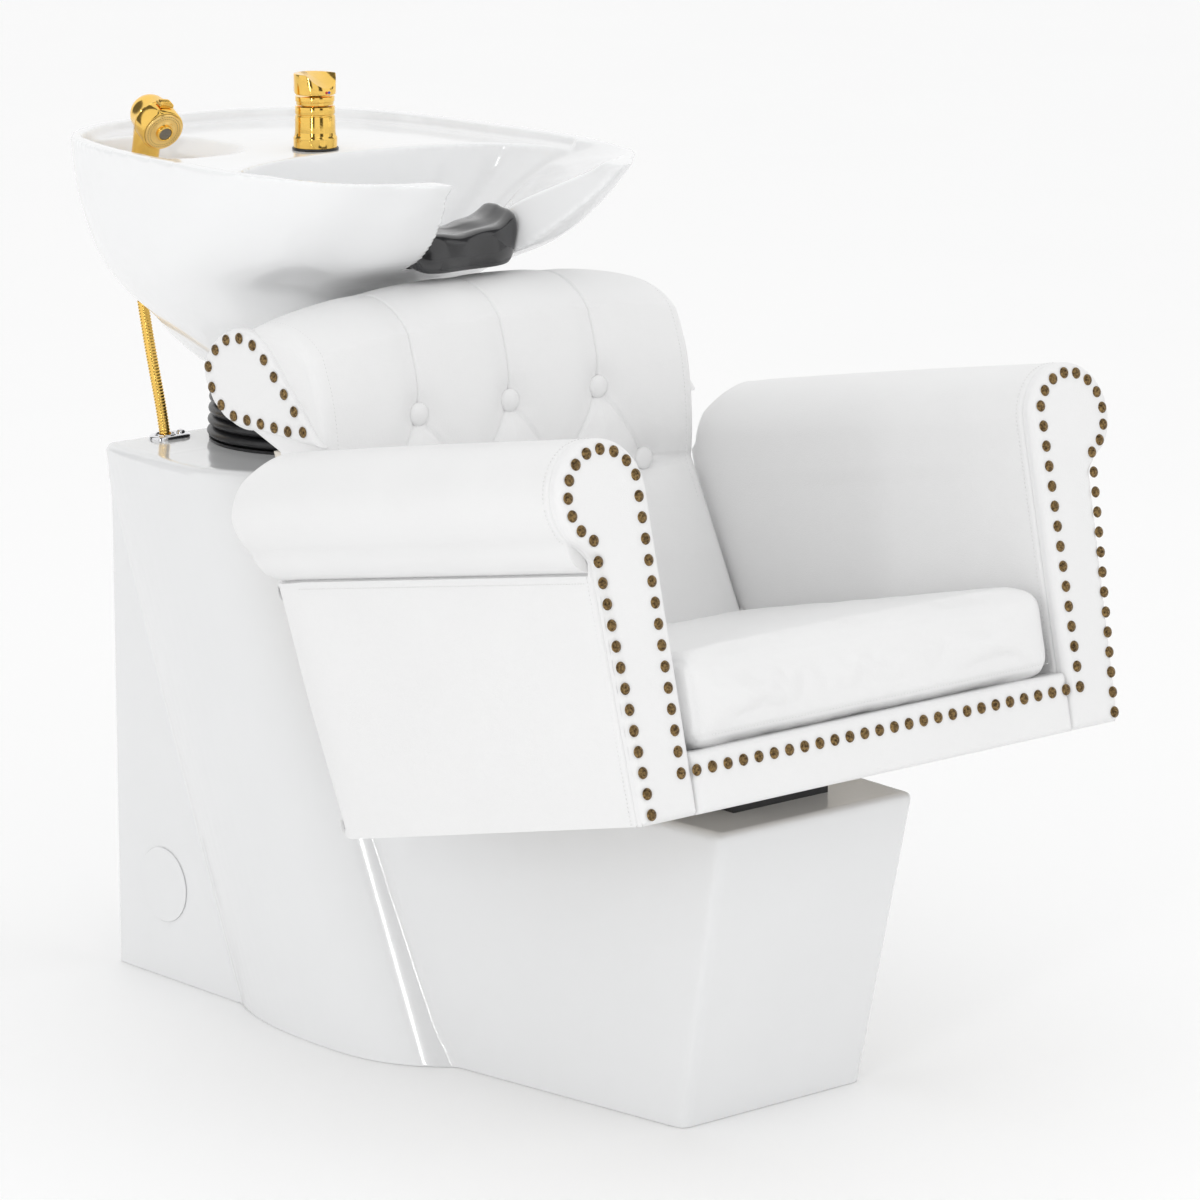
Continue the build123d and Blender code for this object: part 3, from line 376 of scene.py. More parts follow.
pale_floor = material("pale floor", (0.985, 0.985, 0.985), 0.6, spread=0.004, scale=2, bumps=(("noise", 60,
                                                                                               0.02),))


# ------------------------------------------------------------------ moulded base
def oval_ring(z, y, half, front, rear, count=128):
    """Points of a squarish oval round the column's axis."""
    ring = []
    for a in round_angles(count):
        c, s = cos(a), sin(a)
        reach = rear if c > 0 else front
        ring.append(Vector((
            half * copysign(abs(s) ** 0.8, s), y + reach * copysign(abs(c) ** 0.8, c), z,
        )))
    return ring


def column_ring(t, inset):
    """Ring at share t of the column's height, shrunk by inset."""
    foot, head = (0.025, 0.222, 0.190, 0.285), (0.285, 0.207, 0.150, 0.313)
    y, half, front, rear = (a + (b - a) * t for a, b in zip(foot, head))
    return oval_ring(BASE_TOP_Z * t, y, half - inset, front - inset, rear - inset)


def tapered_block(name, low_z, high_z, foot, head, edge):
    """Four-sided block with rounded edges; foot and head are its front and rear (half width, y)."""
    rings = []
    for z, ((front_half, front_y), (rear_half, rear_y)) in ((low_z, foot), (high_z, head)):
        rings += [Vector((-front_half, front_y, z)), Vector((front_half, front_y, z)),
                  Vector((rear_half, rear_y, z)), Vector((-rear_half, rear_y, z))]
    obj = new_object(name, rings, ring_faces(2, 4) + [(3, 2, 1, 0), (4, 5, 6, 7)], 30)
    modify(obj, "BEVEL", width=edge, segments=4, limit_method="NONE")
    return bake(obj)


def make_base():
    edge = 0.009
    rings = [column_ring(-0.03, 0)] + [column_ring(t / 24 * (1 - edge / BASE_TOP_Z), 0) for t in range(25)]
    for k in range(1, 6):
        a = pi / 2 * k / 5
        rings.append(column_ring(1 - edge * (1 - sin(a)) / BASE_TOP_Z, edge * (1 - cos(a))))
    column = tube("column", rings)
    behind = [(0.4, BASE_REAR_Y), (0.4, 0.9)]
    boolean(column, tapered_block("wall", -0.2, 0.8, behind, behind, 0.001))
    rear_block = tapered_block("rear_block", -0.02, BASE_TOP_Z, [(BASE_HALF, 0.18), (BASE_HALF, BASE_REAR_Y)],
                               [(BASE_HALF, 0.33), (BASE_HALF, BASE_REAR_Y)], 0.010)
    front_block = tapered_block("front_block", -0.02, 0.321, [(0.1235, -0.434), (0.174, -0.02)],
                                [(0.134, -0.504), (0.173, 0.09)], 0.008)
    shell = join_meshes("moulded_base", [column, rear_block, front_block])
    remesh(shell, 0.0030, 5)
    # Flat on the floor, open underneath, with a real wall thickness
    lift_to_floor(shell)
    bm = bmesh.new()
    bm.from_mesh(shell.data)
    bmesh.ops.delete(bm, geom=[f for f in bm.faces if all(v.co.z < 0.0004 for v in f.verts)], context="FACES")
    bm.to_mesh(shell.data)
    bm.free()
    modify(shell, "SOLIDIFY", thickness=BASE_WALL, offset=-1)
    bake(shell, 50)
    lift_to_floor(shell)
    for spot, axis, radius, depth in (
        ((0, NECK_Y, BASE_TOP_Z - 0.02), (0, 0, 1), 0.097, 0.04),
        ((GUIDE_X, GUIDE_Y, BASE_TOP_Z - 0.02), (0, 0, 1), 0.013, 0.04),
        ((-BASE_HALF - 0.02, CAP_Y, CAP_Z), (1, 0, 0), 0.0395, 0.04),
    ):
        cutter = lathe("cutter", spot, axis, [(radius, 0), (radius, depth)], 96)
        boolean(shell, cutter, solver="MANIFOLD")
    place(shell, "base", "gelcoat", gelcoat, "base_shell")
    cap = lathe("service_cap", (-BASE_HALF, CAP_Y, CAP_Z), (-1, 0, 0),
                [(0.0365, -0.012), (0.0388, -0.012), (0.0388, 0.0001), (0.0412, 0.0003), (0.0420, 0.0009),
                 (0.0414, 0.0016), (0.030, 0.0019), (0.010, 0.0020), (0, 0.0020)], 96)
    place(cap, "base", "gelcoat", gelcoat, "side_cap")


# ------------------------------------------------------------------ upholstery outlines
def between_points(a, b, count):
    """Evenly spaced points on the straight line from a to b."""
    return [np.array(a) * (1 - t) + np.array(b) * t for t in np.linspace(0, 1, count)]


def arm_side_points(side, rise, creased=False):
    """Inner and outer edges of one arm's section, as two ladders of (x, w) from the foot to the crown.

    A creased section has the roll tucked in over the side panel; otherwise its neck is a plain curve.
    """
    cy = SCROLL_W + rise
    inner = between_points((ARM_INNER, 0.0), (SCROLL_X - SCROLL_R, cy), 40)
    for k in range(1, 17):
        a = pi - pi / 2 * k / 16
        inner.append((SCROLL_X + SCROLL_R * cos(a), cy + SCROLL_R * sin(a)))
    neck = Vector((ARM_NECK_X, ARM_NECK_W + rise - (CREASE_DROP if creased else 0)))
    outer = [(ARM_OUTER + (neck.x - ARM_OUTER) * t, neck.y * t) for t in np.linspace(0, 1, 26)]
    low = ROLL_LOW_CREASED if creased else ROLL_LOW
    start = Vector((SCROLL_X + SCROLL_R * cos(low), cy + SCROLL_R * sin(low)))
    begin, pull = neck, neck + Vector((0.004, 0.012))
    if creased:
        outer += [(neck.x - 0.0030, neck.y + 0.0006), (neck.x - 0.0052, neck.y + 0.0022)]
        begin, pull = neck + Vector((-0.0040, 0.0036)), neck + Vector((0.0170, 0.0042))
    turns = 6 if creased else 8
    for k in range(1, turns + 1):
        t = k / turns
        outer.append(tuple(begin * (1 - t) ** 2 + pull * 2 * t * (1 - t) + start * t ** 2))
    for k in range(1, 31):
        a = low + (pi / 2 - low) * k / 30
        outer.append((SCROLL_X + SCROLL_R * cos(a), cy + SCROLL_R * sin(a)))
    return [(side * x, w) for x, w in inner], [(side * x, w) for x, w in outer]


def rear_edge(w):
    """How far back along the seat the arm reaches at height w."""
    heights = [-0.02, 0.0, 0.146, 0.262, 0.300, 0.338, 0.372, 0.398]
    depths = [0.478, 0.481, 0.506, 0.520, 0.529, 0.531, 0.521, 0.496]
    return float(np.interp(w, heights, depths))


def run_along(line):
    """Distance of each point of a line from its start, along the line."""
    return np.concatenate([[0], np.cumsum(np.linalg.norm(np.diff(line, axis=0), axis=1))])


def resample(line, steps):
    """Evenly spaced points along a line."""
    line = np.array(line)
    run = run_along(line)
    return [(float(np.interp(s, run, line[:, 0])), float(np.interp(s, run, line[:, 1])))
            for s in np.linspace(0, run[-1], steps)]


def distance_to_path(points, path):
    """Least distance of each point from a closed path."""
    best = np.full(len(points), 9.0)
    for a, b in zip(path, path[1:] + path[:1]):
        best = np.minimum(best, segment_distance(points, a, b)[0])
    return best


def nail_spots(node, normal):
    """Foot of each nail head in a CAD node, with the nails' common direction."""
    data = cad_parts[node].data
    bm = bmesh.new()
    bm.from_mesh(data)
    bmesh.ops.remove_doubles(bm, verts=bm.verts, dist=1e-5)
    seen, spots = set(), []
    for vert in bm.verts:
        if vert.index in seen:
            continue
        group, stack = [], [vert]
        seen.add(vert.index)
        while stack:
            here = stack.pop()
            group.append(here.co.copy())
            for link in here.link_edges:
                other = link.other_vert(here)
                if other.index not in seen:
                    seen.add(other.index)
                    stack.append(other)
        top = max(p.dot(normal) for p in group)
        rim = [p for p in group if p.dot(normal) > top - 0.0004]
        spots.append(sum(rim, Vector()) / len(rim) - normal * NAIL_H)
    bm.free()
    return spots


def make_nails(name, node, normal):
    """Domed nail heads with a rolled ring, at the CAD nails' places."""
    normal = normal.normalized()
    u, v = frame_of(normal)
    profile = [(0.0011, -0.004), (0.0011, -0.0002), (0.0056, -0.0002), (0.0059, 0.0004), (0.0056, 0.0010),
               (0.0049, 0.0016), (0.0046, 0.0015), (0.0040, 0.0022), (0.0029, 0.0028), (0.0026, 0.0026),
               (0.0023, 0.0026), (0.0016, 0.0031), (0.0, 0.0033)]
    steps = 20
    verts, faces = [], []
    for spot in nail_spots(node, normal):
        start = len(verts)
        for r, h in profile:
            for a in round_angles(steps):
                verts.append(spot + normal * h + (u * cos(a) + v * sin(a)) * max(r, 1e-5))
        faces += ring_faces(len(profile), steps, offset=start)
        faces.append(tuple(range(start, start + steps))[::-1])
    nails = new_object(name, verts, faces, 50)
    return place(nails, "base", "antique_brass", brass_old, node)


def panel(name, side_a, side_b, put, depth, across=24, edge=0.008, crown=0.002, dimples=()):
    """Padded panel between two ladders of points; put(p, height) places it, and its face is at height 0."""
    outline = [np.array(p) for p in side_a] + [np.array(p) for p in side_b[::-1]]
    rows = []
    for a, b in zip(side_a, side_b):
        for k in range(across + 1):
            t = 0.5 - 0.5 * cos(pi * k / across)
            t = 0.5 * t + 0.5 * k / across
            rows.append(np.array(a) * (1 - t) + np.array(b) * t)
    flat = np.array(rows)
    gap = distance_to_path(flat, outline)
    near = np.clip(gap, 0, edge)
    height = -edge + np.sqrt(np.maximum(edge ** 2 - (edge - near) ** 2, 0))
    height += crown * (1 - np.exp(-gap / 0.022))
    for spot in dimples:
        r = np.linalg.norm(flat - np.array(spot), axis=1)
        height -= 0.0013 * np.exp(-(r / 0.0085) ** 2)
        height += 0.0004 * np.exp(-((r - 0.0115) / 0.004) ** 2)
    verts = [put(p, h) for p, h in zip(flat, height)]
    width = across + 1
    faces = []
    for i in range(len(side_a) - 1):
        for k in range(across):
            a = i * width + k
            faces.append((a, a + 1, a + width + 1, a + width))
    count = len(side_a)
    loop = list(range(width)) + [i * width + across for i in range(1, count)]
    loop += [(count - 1) * width + k for k in range(across - 1, -1, -1)]
    loop += [i * width for i in range(count - 2, 0, -1)]
    start = len(verts)
    for level in (-edge - 0.0005, -depth):
        verts += [put(flat[i], level) for i in loop]
    n = len(loop)
    for k in range(n):
        m = (k + 1) % n
        faces.append((loop[k], loop[m], start + m, start + k))
        faces.append((start + k, start + m, start + n + m, start + n + k))
    faces.append(tuple(range(start + n, start + 2 * n)))
    return new_object(name, verts, faces, 55)


stitch_parts = {"verts": [], "faces": []}


def stitch(points, normals, pitch=0.0042, length=0.0027):
    """Adds a row of thread stitches along a line of points on a surface."""
    points = [Vector(p) for p in points]
    carried = 0.0
    for here, there, normal in zip(points, points[1:], normals):
        run = (there - here).length
        if run < 1e-6:
            continue
        along = (there - here) / run
        normal = Vector(normal).normalized()
        side = along.cross(normal).normalized()
        while carried < run:
            middle = here + along * carried + normal * 0.0002
            start = len(stitch_parts["verts"])
            ends = [middle - along * length / 2, middle + along * length / 2]
            belt = [middle + side * 0.00045, middle + normal * 0.0005, middle - side * 0.00045,
                    middle - normal * 0.0005]
            stitch_parts["verts"] += ends + belt
            for k in range(4):
                stitch_parts["faces"].append((start, start + 2 + k, start + 2 + (k + 1) % 4))
                stitch_parts["faces"].append((start + 1, start + 2 + (k + 1) % 4, start + 2 + k))
            carried += pitch
        carried -= run


# ------------------------------------------------------------------ arms
def make_arm(name, side):
    rows = 46
    radius = 0.020
    rings = []
    shares = [0.0, 0.003, 0.006, 0.010, 0.015, 0.022, 0.03] + list(np.linspace(0.05, 0.93, rows)) + [0.95]
    for level, share in enumerate(shares + [1.0] * 8):
        rise = SCROLL_RISE * min(share, 1)
        inner, outer = arm_side_points(side, rise, share > 0.01)
        ladder = np.array(inner + outer[::-1])
        n = len(ladder)
        before, after = np.roll(ladder, 1, axis=0), np.roll(ladder, -1, axis=0)
        tangent = after - before
        tangent /= np.maximum(np.linalg.norm(tangent, axis=1, keepdims=True), 1e-9)
        normal = np.stack([-tangent[:, 1], tangent[:, 0]], axis=1) * side
        depth_end = np.array([rear_edge(w) for w in ladder[:, 1]])
        # Taut leather: panels bow out between their seams, and dip at the front welt
        bow = np.zeros(n)
        w = ladder[:, 1]
        is_outer = np.arange(n) >= len(inner)
        low = is_outer & (w < ARM_NECK_W + rise)
        bow[low] = 0.0035 * np.sin(np.pi * np.clip(w[low] / (ARM_NECK_W + rise), 0, 1))
        bow[~is_outer] = 0.002 * np.sin(np.pi * np.clip(w[~is_outer] / 0.3, 0, 1))
        bow *= sin(pi * min(max(share, 0.0), 1)) ** 0.5
        roll = w > ARM_NECK_W + rise + 0.012
        bow[roll] += 0.0015 * sin(pi * min(share, 1))
        welt = -0.0034 * exp(-(share / 0.005) ** 2)
        tail = level - len(shares)
        if tail >= 0:
            a = pi / 2 * (tail + 1) / 8
            inset, back = radius * (1 - cos(a)), radius * (1 - sin(a))
        else:
            inset, back = 0.0, radius
        # The inner face keeps to the backrest, so it turns in less than the rest
        hug = np.where((~is_outer) & (w < SCROLL_W + rise), 0.2, 1.0)
        depth = PANEL_T + (depth_end - back - PANEL_T) * (share if tail < 0 else 1)
        if tail < 0 and share == 0.95:
            depth = depth_end - back
        spot = ladder + normal * (bow + welt - inset * hug)[:, None]
        spot[:, 1] = np.maximum(spot[:, 1], min(inset, 0.012) if tail >= 0 else 0)
        rings.append([seat(spot[k, 0], depth[k], spot[k, 1]) for k in range(n)])
    verts = [p for ring in rings for p in ring]
    faces = ring_faces(len(rings), n)
    faces.append(tuple(range(n))[::-1])
    last = (len(rings) - 1) * n
    for k in range(n // 2 - 1):
        faces.append((last + k, last + k + 1, last + n - 2 - k, last + n - 1 - k))
    arm = new_object(f"{name}_pad", verts, faces, 50)
    # Stitch lines: round the front welt, and under the roll
    inner, outer = arm_side_points(side, 0)
    ladder = [Vector(p) for p in inner + outer[::-1]]
    for first, second in ((0, len(inner) + 22), (len(inner) + 22, len(ladder))):
        pts, nos = [], []
        for k in range(first, second):
            a, b = ladder[max(k - 1, 0)], ladder[min(k + 1, len(ladder) - 1)]
            t = (b - a).normalized()
            no = Vector((-t.y, t.x)) * side
            p = ladder[k] + no * 0.0006
            pts.append(seat(p.x, PANEL_T + 0.009, p.y))
            nos.append(seat(no.x, 0, no.y) - seat(0, 0, 0))
        stitch(pts, nos)
    under, normals = [], []
    for share in np.linspace(0.03, 0.95, 60):
        rise = SCROLL_RISE * share
        w = ARM_NECK_W + rise - CREASE_DROP - 0.007
        x = ARM_OUTER + (ARM_NECK_X - ARM_OUTER) * (w / (ARM_NECK_W + rise))
        x += 0.0005 + 0.0035 * sin(pi * w / (ARM_NECK_W + rise)) * sin(pi * share) ** 0.5
        under.append(seat(side * x, PANEL_T + (rear_edge(w) - 0.02 - PANEL_T) * share, w))
        normals.append((side, 0, 0.05))
    stitch(under, normals)
    place(arm, "base", "white_leather", leather, name)


def make_arm_front(name, side, spots):
    inner, outer = (resample(line, 110) for line in arm_side_points(side, 0))
    inner[-1] = (inner[-1][0] - side * 0.0004, inner[-1][1])
    front = panel(name, inner, outer, lambda p, h: seat(float(p[0]), -h, float(p[1])), PANEL_T,
                  across=26, dimples=spots)
    place(front, "base", "white_leather", leather, name.replace("_pad", ""))


def make_seat_fronts():
    rail, left, right = (
        [(p.x, (p - Vector((0, SEAT_Y, SEAT_Z))).dot(UP)) for p in nail_spots(f"nails_{where}", OUT)]
        for where in ("rail", "arm_left", "arm_right")
    )
    make_arm("arm_left", -1)
    make_arm("arm_right", 1)
    make_arm_front("arm_front_left_pad", -1, left + rail[:2] + rail[-2:])
    make_arm_front("arm_front_right_pad", 1, right + rail[:2] + rail[-2:])
    low = [(x, 0.0) for x in np.linspace(-ARM_INNER + 0.0004, ARM_INNER - 0.0004, 170)]
    high = [(x, RAIL_H) for x, _ in low]
    front = panel("front_rail_pad", low, high, lambda p, h: seat(float(p[0]), -h, float(p[1])), RAIL_T,
                  across=18, edge=0.006, crown=0.0015, dimples=rail)
    place(front, "base", "white_leather", leather, "front_rail")
    make_nails("arm_nails_left", "nails_arm_left", OUT)
    make_nails("arm_nails_right", "nails_arm_right", OUT)
    make_nails("rail_nails", "nails_rail", OUT)


# ------------------------------------------------------------------ seat cushion
def make_cushion():
    low_w, high_w = RAIL_H + 0.0015, 0.1495
    half, deep = ARM_INNER - 0.0075, 0.460
    shape = [(-half, low_w), (half, low_w), (half, high_w), (-half, high_w)]
    block = new_object(
        "seat_cushion_pad",
        [seat(x, 0.001, w) for x, w in shape] + [seat(x, deep, w) for x, w in shape],
        ring_faces(2, 4) + [(3, 2, 1, 0), (4, 5, 6, 7)], 30)
    modify(block, "BEVEL", width=0.016, segments=5, limit_method="NONE")
    bake(block)
    remesh(block, 0.006, 3)
    inflate(block, 3.0, 0.006)
    modify(block, "SUBSURF", levels=1, render_levels=1)
    bake(block, 80)
    # Crown, side seams and the hem, as fine grooves
    co = get_points(block)
    no = get_normals(block)
    up, out = np.array(UP), np.array(OUT)
    rel = co - np.array((0, SEAT_Y, SEAT_Z))
    w, v, x = rel @ up, -(rel @ out), co[:, 0]
    top = smoothstep(0.12, 0.15, w)
    crown = 0.004 * np.cos(np.clip(x / half, -1, 1) * pi / 2) * np.sin(np.clip(v / deep, 0, 1) * pi) ** 0.6
    co += up * (crown * top)[:, None]
    groove = np.exp(-((np.abs(x) - (half - 0.012)) / 0.0022) ** 2)
    groove = np.maximum(groove, np.exp(-((w - (low_w + 0.010)) / 0.0020) ** 2) * smoothstep(0.05, 0.0, v))
    co -= no * (0.0009 * groove)[:, None]
    ripple = np.sin(x * 90 + np.sin(v * 37) * 2) * np.sin(v * 61 + x * 20)
    co += no * (0.00035 * ripple * smoothstep(0.02, 0.1, v) * top)[:, None]
    set_points(block, co)
    hem = [seat(x, -0.0035, low_w + 0.012) for x in np.linspace(-half + 0.02, half - 0.02, 90)]
    stitch(hem, [OUT] * 90)
    place(block, "base", "white_leather", leather, "seat_cushion")


# ------------------------------------------------------------------ backrest
def arc_points(a, b, c, steps):
    """Points on the circle arc from a through b to c."""
    a, b, c = (np.array(p, float) for p in (a, b, c))
    ba, ca = b - a, c - a
    cross = 2 * (ba[0] * ca[1] - ba[1] * ca[0])
    centre = a + np.array([ca[1] * ba @ ba - ba[1] * ca @ ca, ba[0] * ca @ ca - ca[0] * ba @ ba]) / cross
    start = atan2(*(a - centre)[::-1])
    middle = atan2(*(b - centre)[::-1])
    end = atan2(*(c - centre)[::-1])
    turn = (end - start) % (2 * pi)
    if (middle - start) % (2 * pi) > turn:
        turn -= 2 * pi
    r = np.linalg.norm(a - centre)
    return [centre + r * np.array([cos(start + turn * k / steps), sin(start + turn * k / steps)])
            for k in range(steps + 1)]


def back_profile():
    """Closed side profile of the backrest, (y, z): up its front, over the roll and down the back."""
    line = between_points((-0.117, 0.420), (-0.034, 0.586), 80)
    line += arc_points((-0.034, 0.586), (-0.030, 0.680), (-0.008, 0.762), 92)[1:]
    line += arc_points((-0.008, 0.762), (0.045, 0.793), (0.118, 0.767), 64)[1:]
    line += arc_points((0.118, 0.767), (0.163, 0.715), (0.095, 0.657), 40)[1:]
    for a, b, n in (((0.095, 0.657), (0.048, 0.640), 8), ((0.048, 0.640), (-0.042, 0.400), 20),
                    ((-0.042, 0.400), (-0.117, 0.420), 10)):
        line += between_points(a, b, n + 1)[1:]
    return np.array(line[:-1])


UPPER_Z, LOWER_Z = 0.676, 0.592                     # levels of the two rows of buttons
CURVE_START_Z, CREST_Z = 0.70, 0.7935               # the crest's curve across stretches what is between
FACE_POINTS, LAST_TUFTED_POINT = 172, 262           # places along back_profile's list of points
UPPER_BUTTONS = [(x, UPPER_Z) for x in (-0.1235, 0.0, 0.1235)]
LOWER_BUTTONS = [(x, LOWER_Z) for x in (-0.185, -0.062, 0.062, 0.185)]
PLEATS = [((x, z), (x, 0.900)) for x, z in UPPER_BUTTONS]
PLEATS += [((x, z), (x + d, LOWER_Z)) for x, z in UPPER_BUTTONS for d in (-0.0615, 0.0615)]
PLEATS += [((s * 0.185, LOWER_Z), (s * 0.262, 0.588)) for s in (-1, 1)]


def top_stretch(x):
    """How much the part above CURVE_START_Z is stretched at x, so that the top curves across."""
    top = 0.764 + 0.030 * sqrt(max(0, 1 - (x / (BACK_HALF * 1.02)) ** 2)) ** 1.4
    return (top - CURVE_START_Z) / (CREST_Z - CURVE_START_Z)


def back_depth(x, height, front):
    """How far the tufting pulls the skin in at x and unrolled height, for the part that is front."""
    spots = np.stack([x, height], axis=1)
    valley, crease = np.zeros(len(x)), np.zeros(len(x))
    for a, b in PLEATS:
        gap, along = segment_distance(spots, a, b)
        fade = 1.0
        if b[1] > 0.8:                                  # an upright pleat fades over the roll
            fade = 1 - 0.75 * smoothstep(0.1, 1.0, along)
        sharp = 0.0013 if a[0] == b[0] else 0.0022
        valley = np.maximum(valley, np.exp(-(gap / 0.020) ** 2) * fade)
        crease = np.maximum(crease, np.exp(-(gap / sharp) ** 2) * (0.6 + 0.4 * fade))
    pull = 0.0044 * valley + 0.0022 * crease
    for spot in UPPER_BUTTONS + LOWER_BUTTONS:
        r = np.linalg.norm(spots - np.array(spot), axis=1)
        pull += 0.0085 * np.exp(-(r / 0.021) ** 2)
    seam = np.exp(-((height - 0.586) / 0.0022) ** 2) * 0.0022
    return (pull + seam) * front


def make_back():
    profile = back_profile()
    n = len(profile)
    before, after = np.roll(profile, 1, axis=0), np.roll(profile, -1, axis=0)
    tangent = after - before
    tangent /= np.linalg.norm(tangent, axis=1, keepdims=True)
    normal = np.stack([-tangent[:, 1], tangent[:, 0]], axis=1)
    run = run_along(profile)
    at_button = np.interp(UPPER_Z, profile[:FACE_POINTS, 1], run[:FACE_POINTS])
    unrolled = run - at_button + UPPER_Z
    below = np.arange(n) < FACE_POINTS
    unrolled[below] = np.where(profile[below, 1] < CURVE_START_Z, profile[below, 1], unrolled[below])
    front = smoothstep(0.44, 0.52, profile[:, 1]) * (1 - smoothstep(0.86, 0.96, unrolled))
    front[np.arange(n) > LAST_TUFTED_POINT] = 0
    radius = 0.011
    end_steps = [radius * (1 - cos(pi / 2 * k / 5)) for k in range(5)]
    columns = [-BACK_HALF + s for s in end_steps]
    columns += list(np.linspace(-BACK_HALF + radius, BACK_HALF - radius, 257))
    columns += [BACK_HALF - s for s in end_steps[::-1]]
    # Closer columns at the upright pleats
    columns = [x for x in columns if min(abs(x - px) for px, _ in UPPER_BUTTONS) > 0.0048]
    columns = sorted(columns + [px + d * 0.0007 for px, _ in UPPER_BUTTONS for d in range(-6, 7)])
    rings = []
    for x in columns:
        shape = profile.copy()
        high = shape[:, 1] > CURVE_START_Z
        shape[high, 1] = CURVE_START_Z + (shape[high, 1] - CURVE_START_Z) * top_stretch(x)
        e = BACK_HALF - abs(x)
        inset = radius - sqrt(max(0, radius ** 2 - (radius - min(e, radius)) ** 2))
        swell = 0.0035 * (1 - exp(-e / 0.03))
        pull = back_depth(np.full(n, x), unrolled, front)
        move = swell * front - pull * min(1, e / 0.02) - inset
        shape += normal * move[:, None]
        rings.append([Vector((x, y, z)) for y, z in shape])
    back = tube("tufted_back", rings, 60)
    for side in (-1, 1):
        x = side * (BACK_HALF - 0.016)
        seam = range(60, 250)
        pts = []
        for k in seam:
            y, z = profile[k] + normal[k] * 0.0014 * front[k]
            if z > CURVE_START_Z:
                z = CURVE_START_Z + (z - CURVE_START_Z) * top_stretch(x)
            pts.append(Vector((x, y, z)))
        stitch(pts, [Vector((0, *normal[k])) for k in seam])
    place(back, "base", "white_leather", leather, "backrest")

    buttons = []
    for x, z in UPPER_BUTTONS + LOWER_BUTTONS:
        y = float(np.interp(z, profile[:FACE_POINTS, 1], profile[:FACE_POINTS, 0]))
        tilt = Vector((0, -1, 0.02 if z > 0.65 else 0.10)).normalized()
        spot = Vector((x, y, z)) - tilt * 0.0135
        buttons.append(lathe("button", spot, tilt, [
            (0.004, 0.0), (0.0105, 0.0035), (0.0125, 0.0060), (0.0122, 0.0080), (0.0105, 0.0098),
            (0.0075, 0.0110), (0.0035, 0.0117), (0.0, 0.0119)], 32))
    place(join_meshes("covered_buttons", buttons, 60), "base", "white_leather", leather, "back_buttons")


def teardrop(grow, steps=60):
    """The roll's teardrop end as two ladders of (y, z) from its tip to its rear."""
    grow *= MM
    tip = (-0.014 - 1.9 * grow, 0.667 - grow)
    shoulder = (0.060 - 0.7 * grow, 0.738 + 0.72 * grow)
    under = (0.108, 0.671 - grow)
    rear = (0.156 + grow, 0.715)
    upper = between_points(tip, shoulder, 30)
    upper += arc_points(shoulder, (0.103, 0.755 + grow), rear, 36)[1:]
    lower = between_points(tip, under, 30)
    lower += arc_points(under, (0.140 + 0.7 * grow, 0.686 - 0.7 * grow), rear, 24)[1:]
    return resample(upper, steps), resample(lower, steps)


def make_back_ends():
    for side, word in ((-1, "left"), (1, "right")):
        upper, lower = teardrop(9.5)
        upper[0] = (upper[0][0], upper[0][1] + 0.0003)
        upper[-1] = (upper[-1][0], upper[-1][1] + 0.0003)
        spots = [(p.y, p.z) for p in nail_spots(f"nails_back_{word}", Vector((side, 0, 0)))]
        end = panel(f"back_end_{word}_pad", upper, lower,
                    lambda p, h, s=side: Vector((s * (BACK_HALF + END_T + h), float(p[0]), float(p[1]))),
                    END_T + 0.006, across=26, edge=0.006, crown=0.0012, dimples=spots)
        place(end, "base", "white_leather", leather, f"back_end_{word}")
        make_nails(f"back_nails_{word}", f"nails_back_{word}", Vector((side, 0, 0)))


def make_stitches():
    threads = new_object("seam_stitches", stitch_parts["verts"], stitch_parts["faces"], 80)
    place(threads, "base", "white_leather", thread)


# ------------------------------------------------------------------ bowl
RIM_SHAPE = [(0.0, 0.0), (0.27, 0.0), (0.52, 0.0), (0.66, 0.045), (0.87, 0.14), (1.0, 0.34), (0.985, 0.56),
             (0.93, 0.75), (0.78, 0.89), (0.45, 0.98), (0.0, 1.0)]
BOWL_SECTIONS = [(0.646, 0.099, 0.214, 0.412), (0.662, 0.0995, 0.2135, 0.4125), (0.690, 0.128, 0.196, 0.455),
                 (0.735, 0.165, 0.173, 0.506), (0.780, 0.196, 0.136, 0.545), (0.825, 0.217, 0.030, 0.566),
                 (0.870, 0.229, -0.030, 0.573), (RIM_Z, 0.235, -0.075, 0.573)]
# Level, half width, front y, widest y, rear y and fullness of each section of the basin
BASIN_SECTIONS = [(0.745, 0.062, 0.196, 0.227, 0.259, 2.0), (0.780, 0.104, 0.166, 0.200, 0.260, 1.5),
                  (0.825, 0.145, 0.060, 0.182, 0.261, 1.1), (0.864, 0.180, 0.003, 0.170, 0.263, 1.1),
                  (0.895, 0.203, -0.033, 0.145, 0.265, 1.6), (0.912, 0.210, -0.047, 0.125, 0.266, 2.3),
                  (0.923, 0.214, -0.054, 0.115, 0.266, 3.0)]


def curve_through(points, steps, closed=False):
    """Catmull-Rom curve through points."""
    points = np.array(points, float)
    n = len(points)
    result = []
    for k in range(n if closed else n - 1):
        near = [(k + d) % n if closed else min(max(k + d, 0), n - 1) for d in (-1, 0, 1, 2)]
        p = points[near]
        for s in range(steps):
            t = s / steps
            square, cube = 2 * p[0] - 5 * p[1] + 4 * p[2] - p[3], 3 * p[1] - p[0] - 3 * p[2] + p[3]
            result.append(0.5 * (2 * p[1] + (p[2] - p[0]) * t + square * t * t + cube * t ** 3))
    if not closed:
        result.append(points[-1])
    return np.array(result)


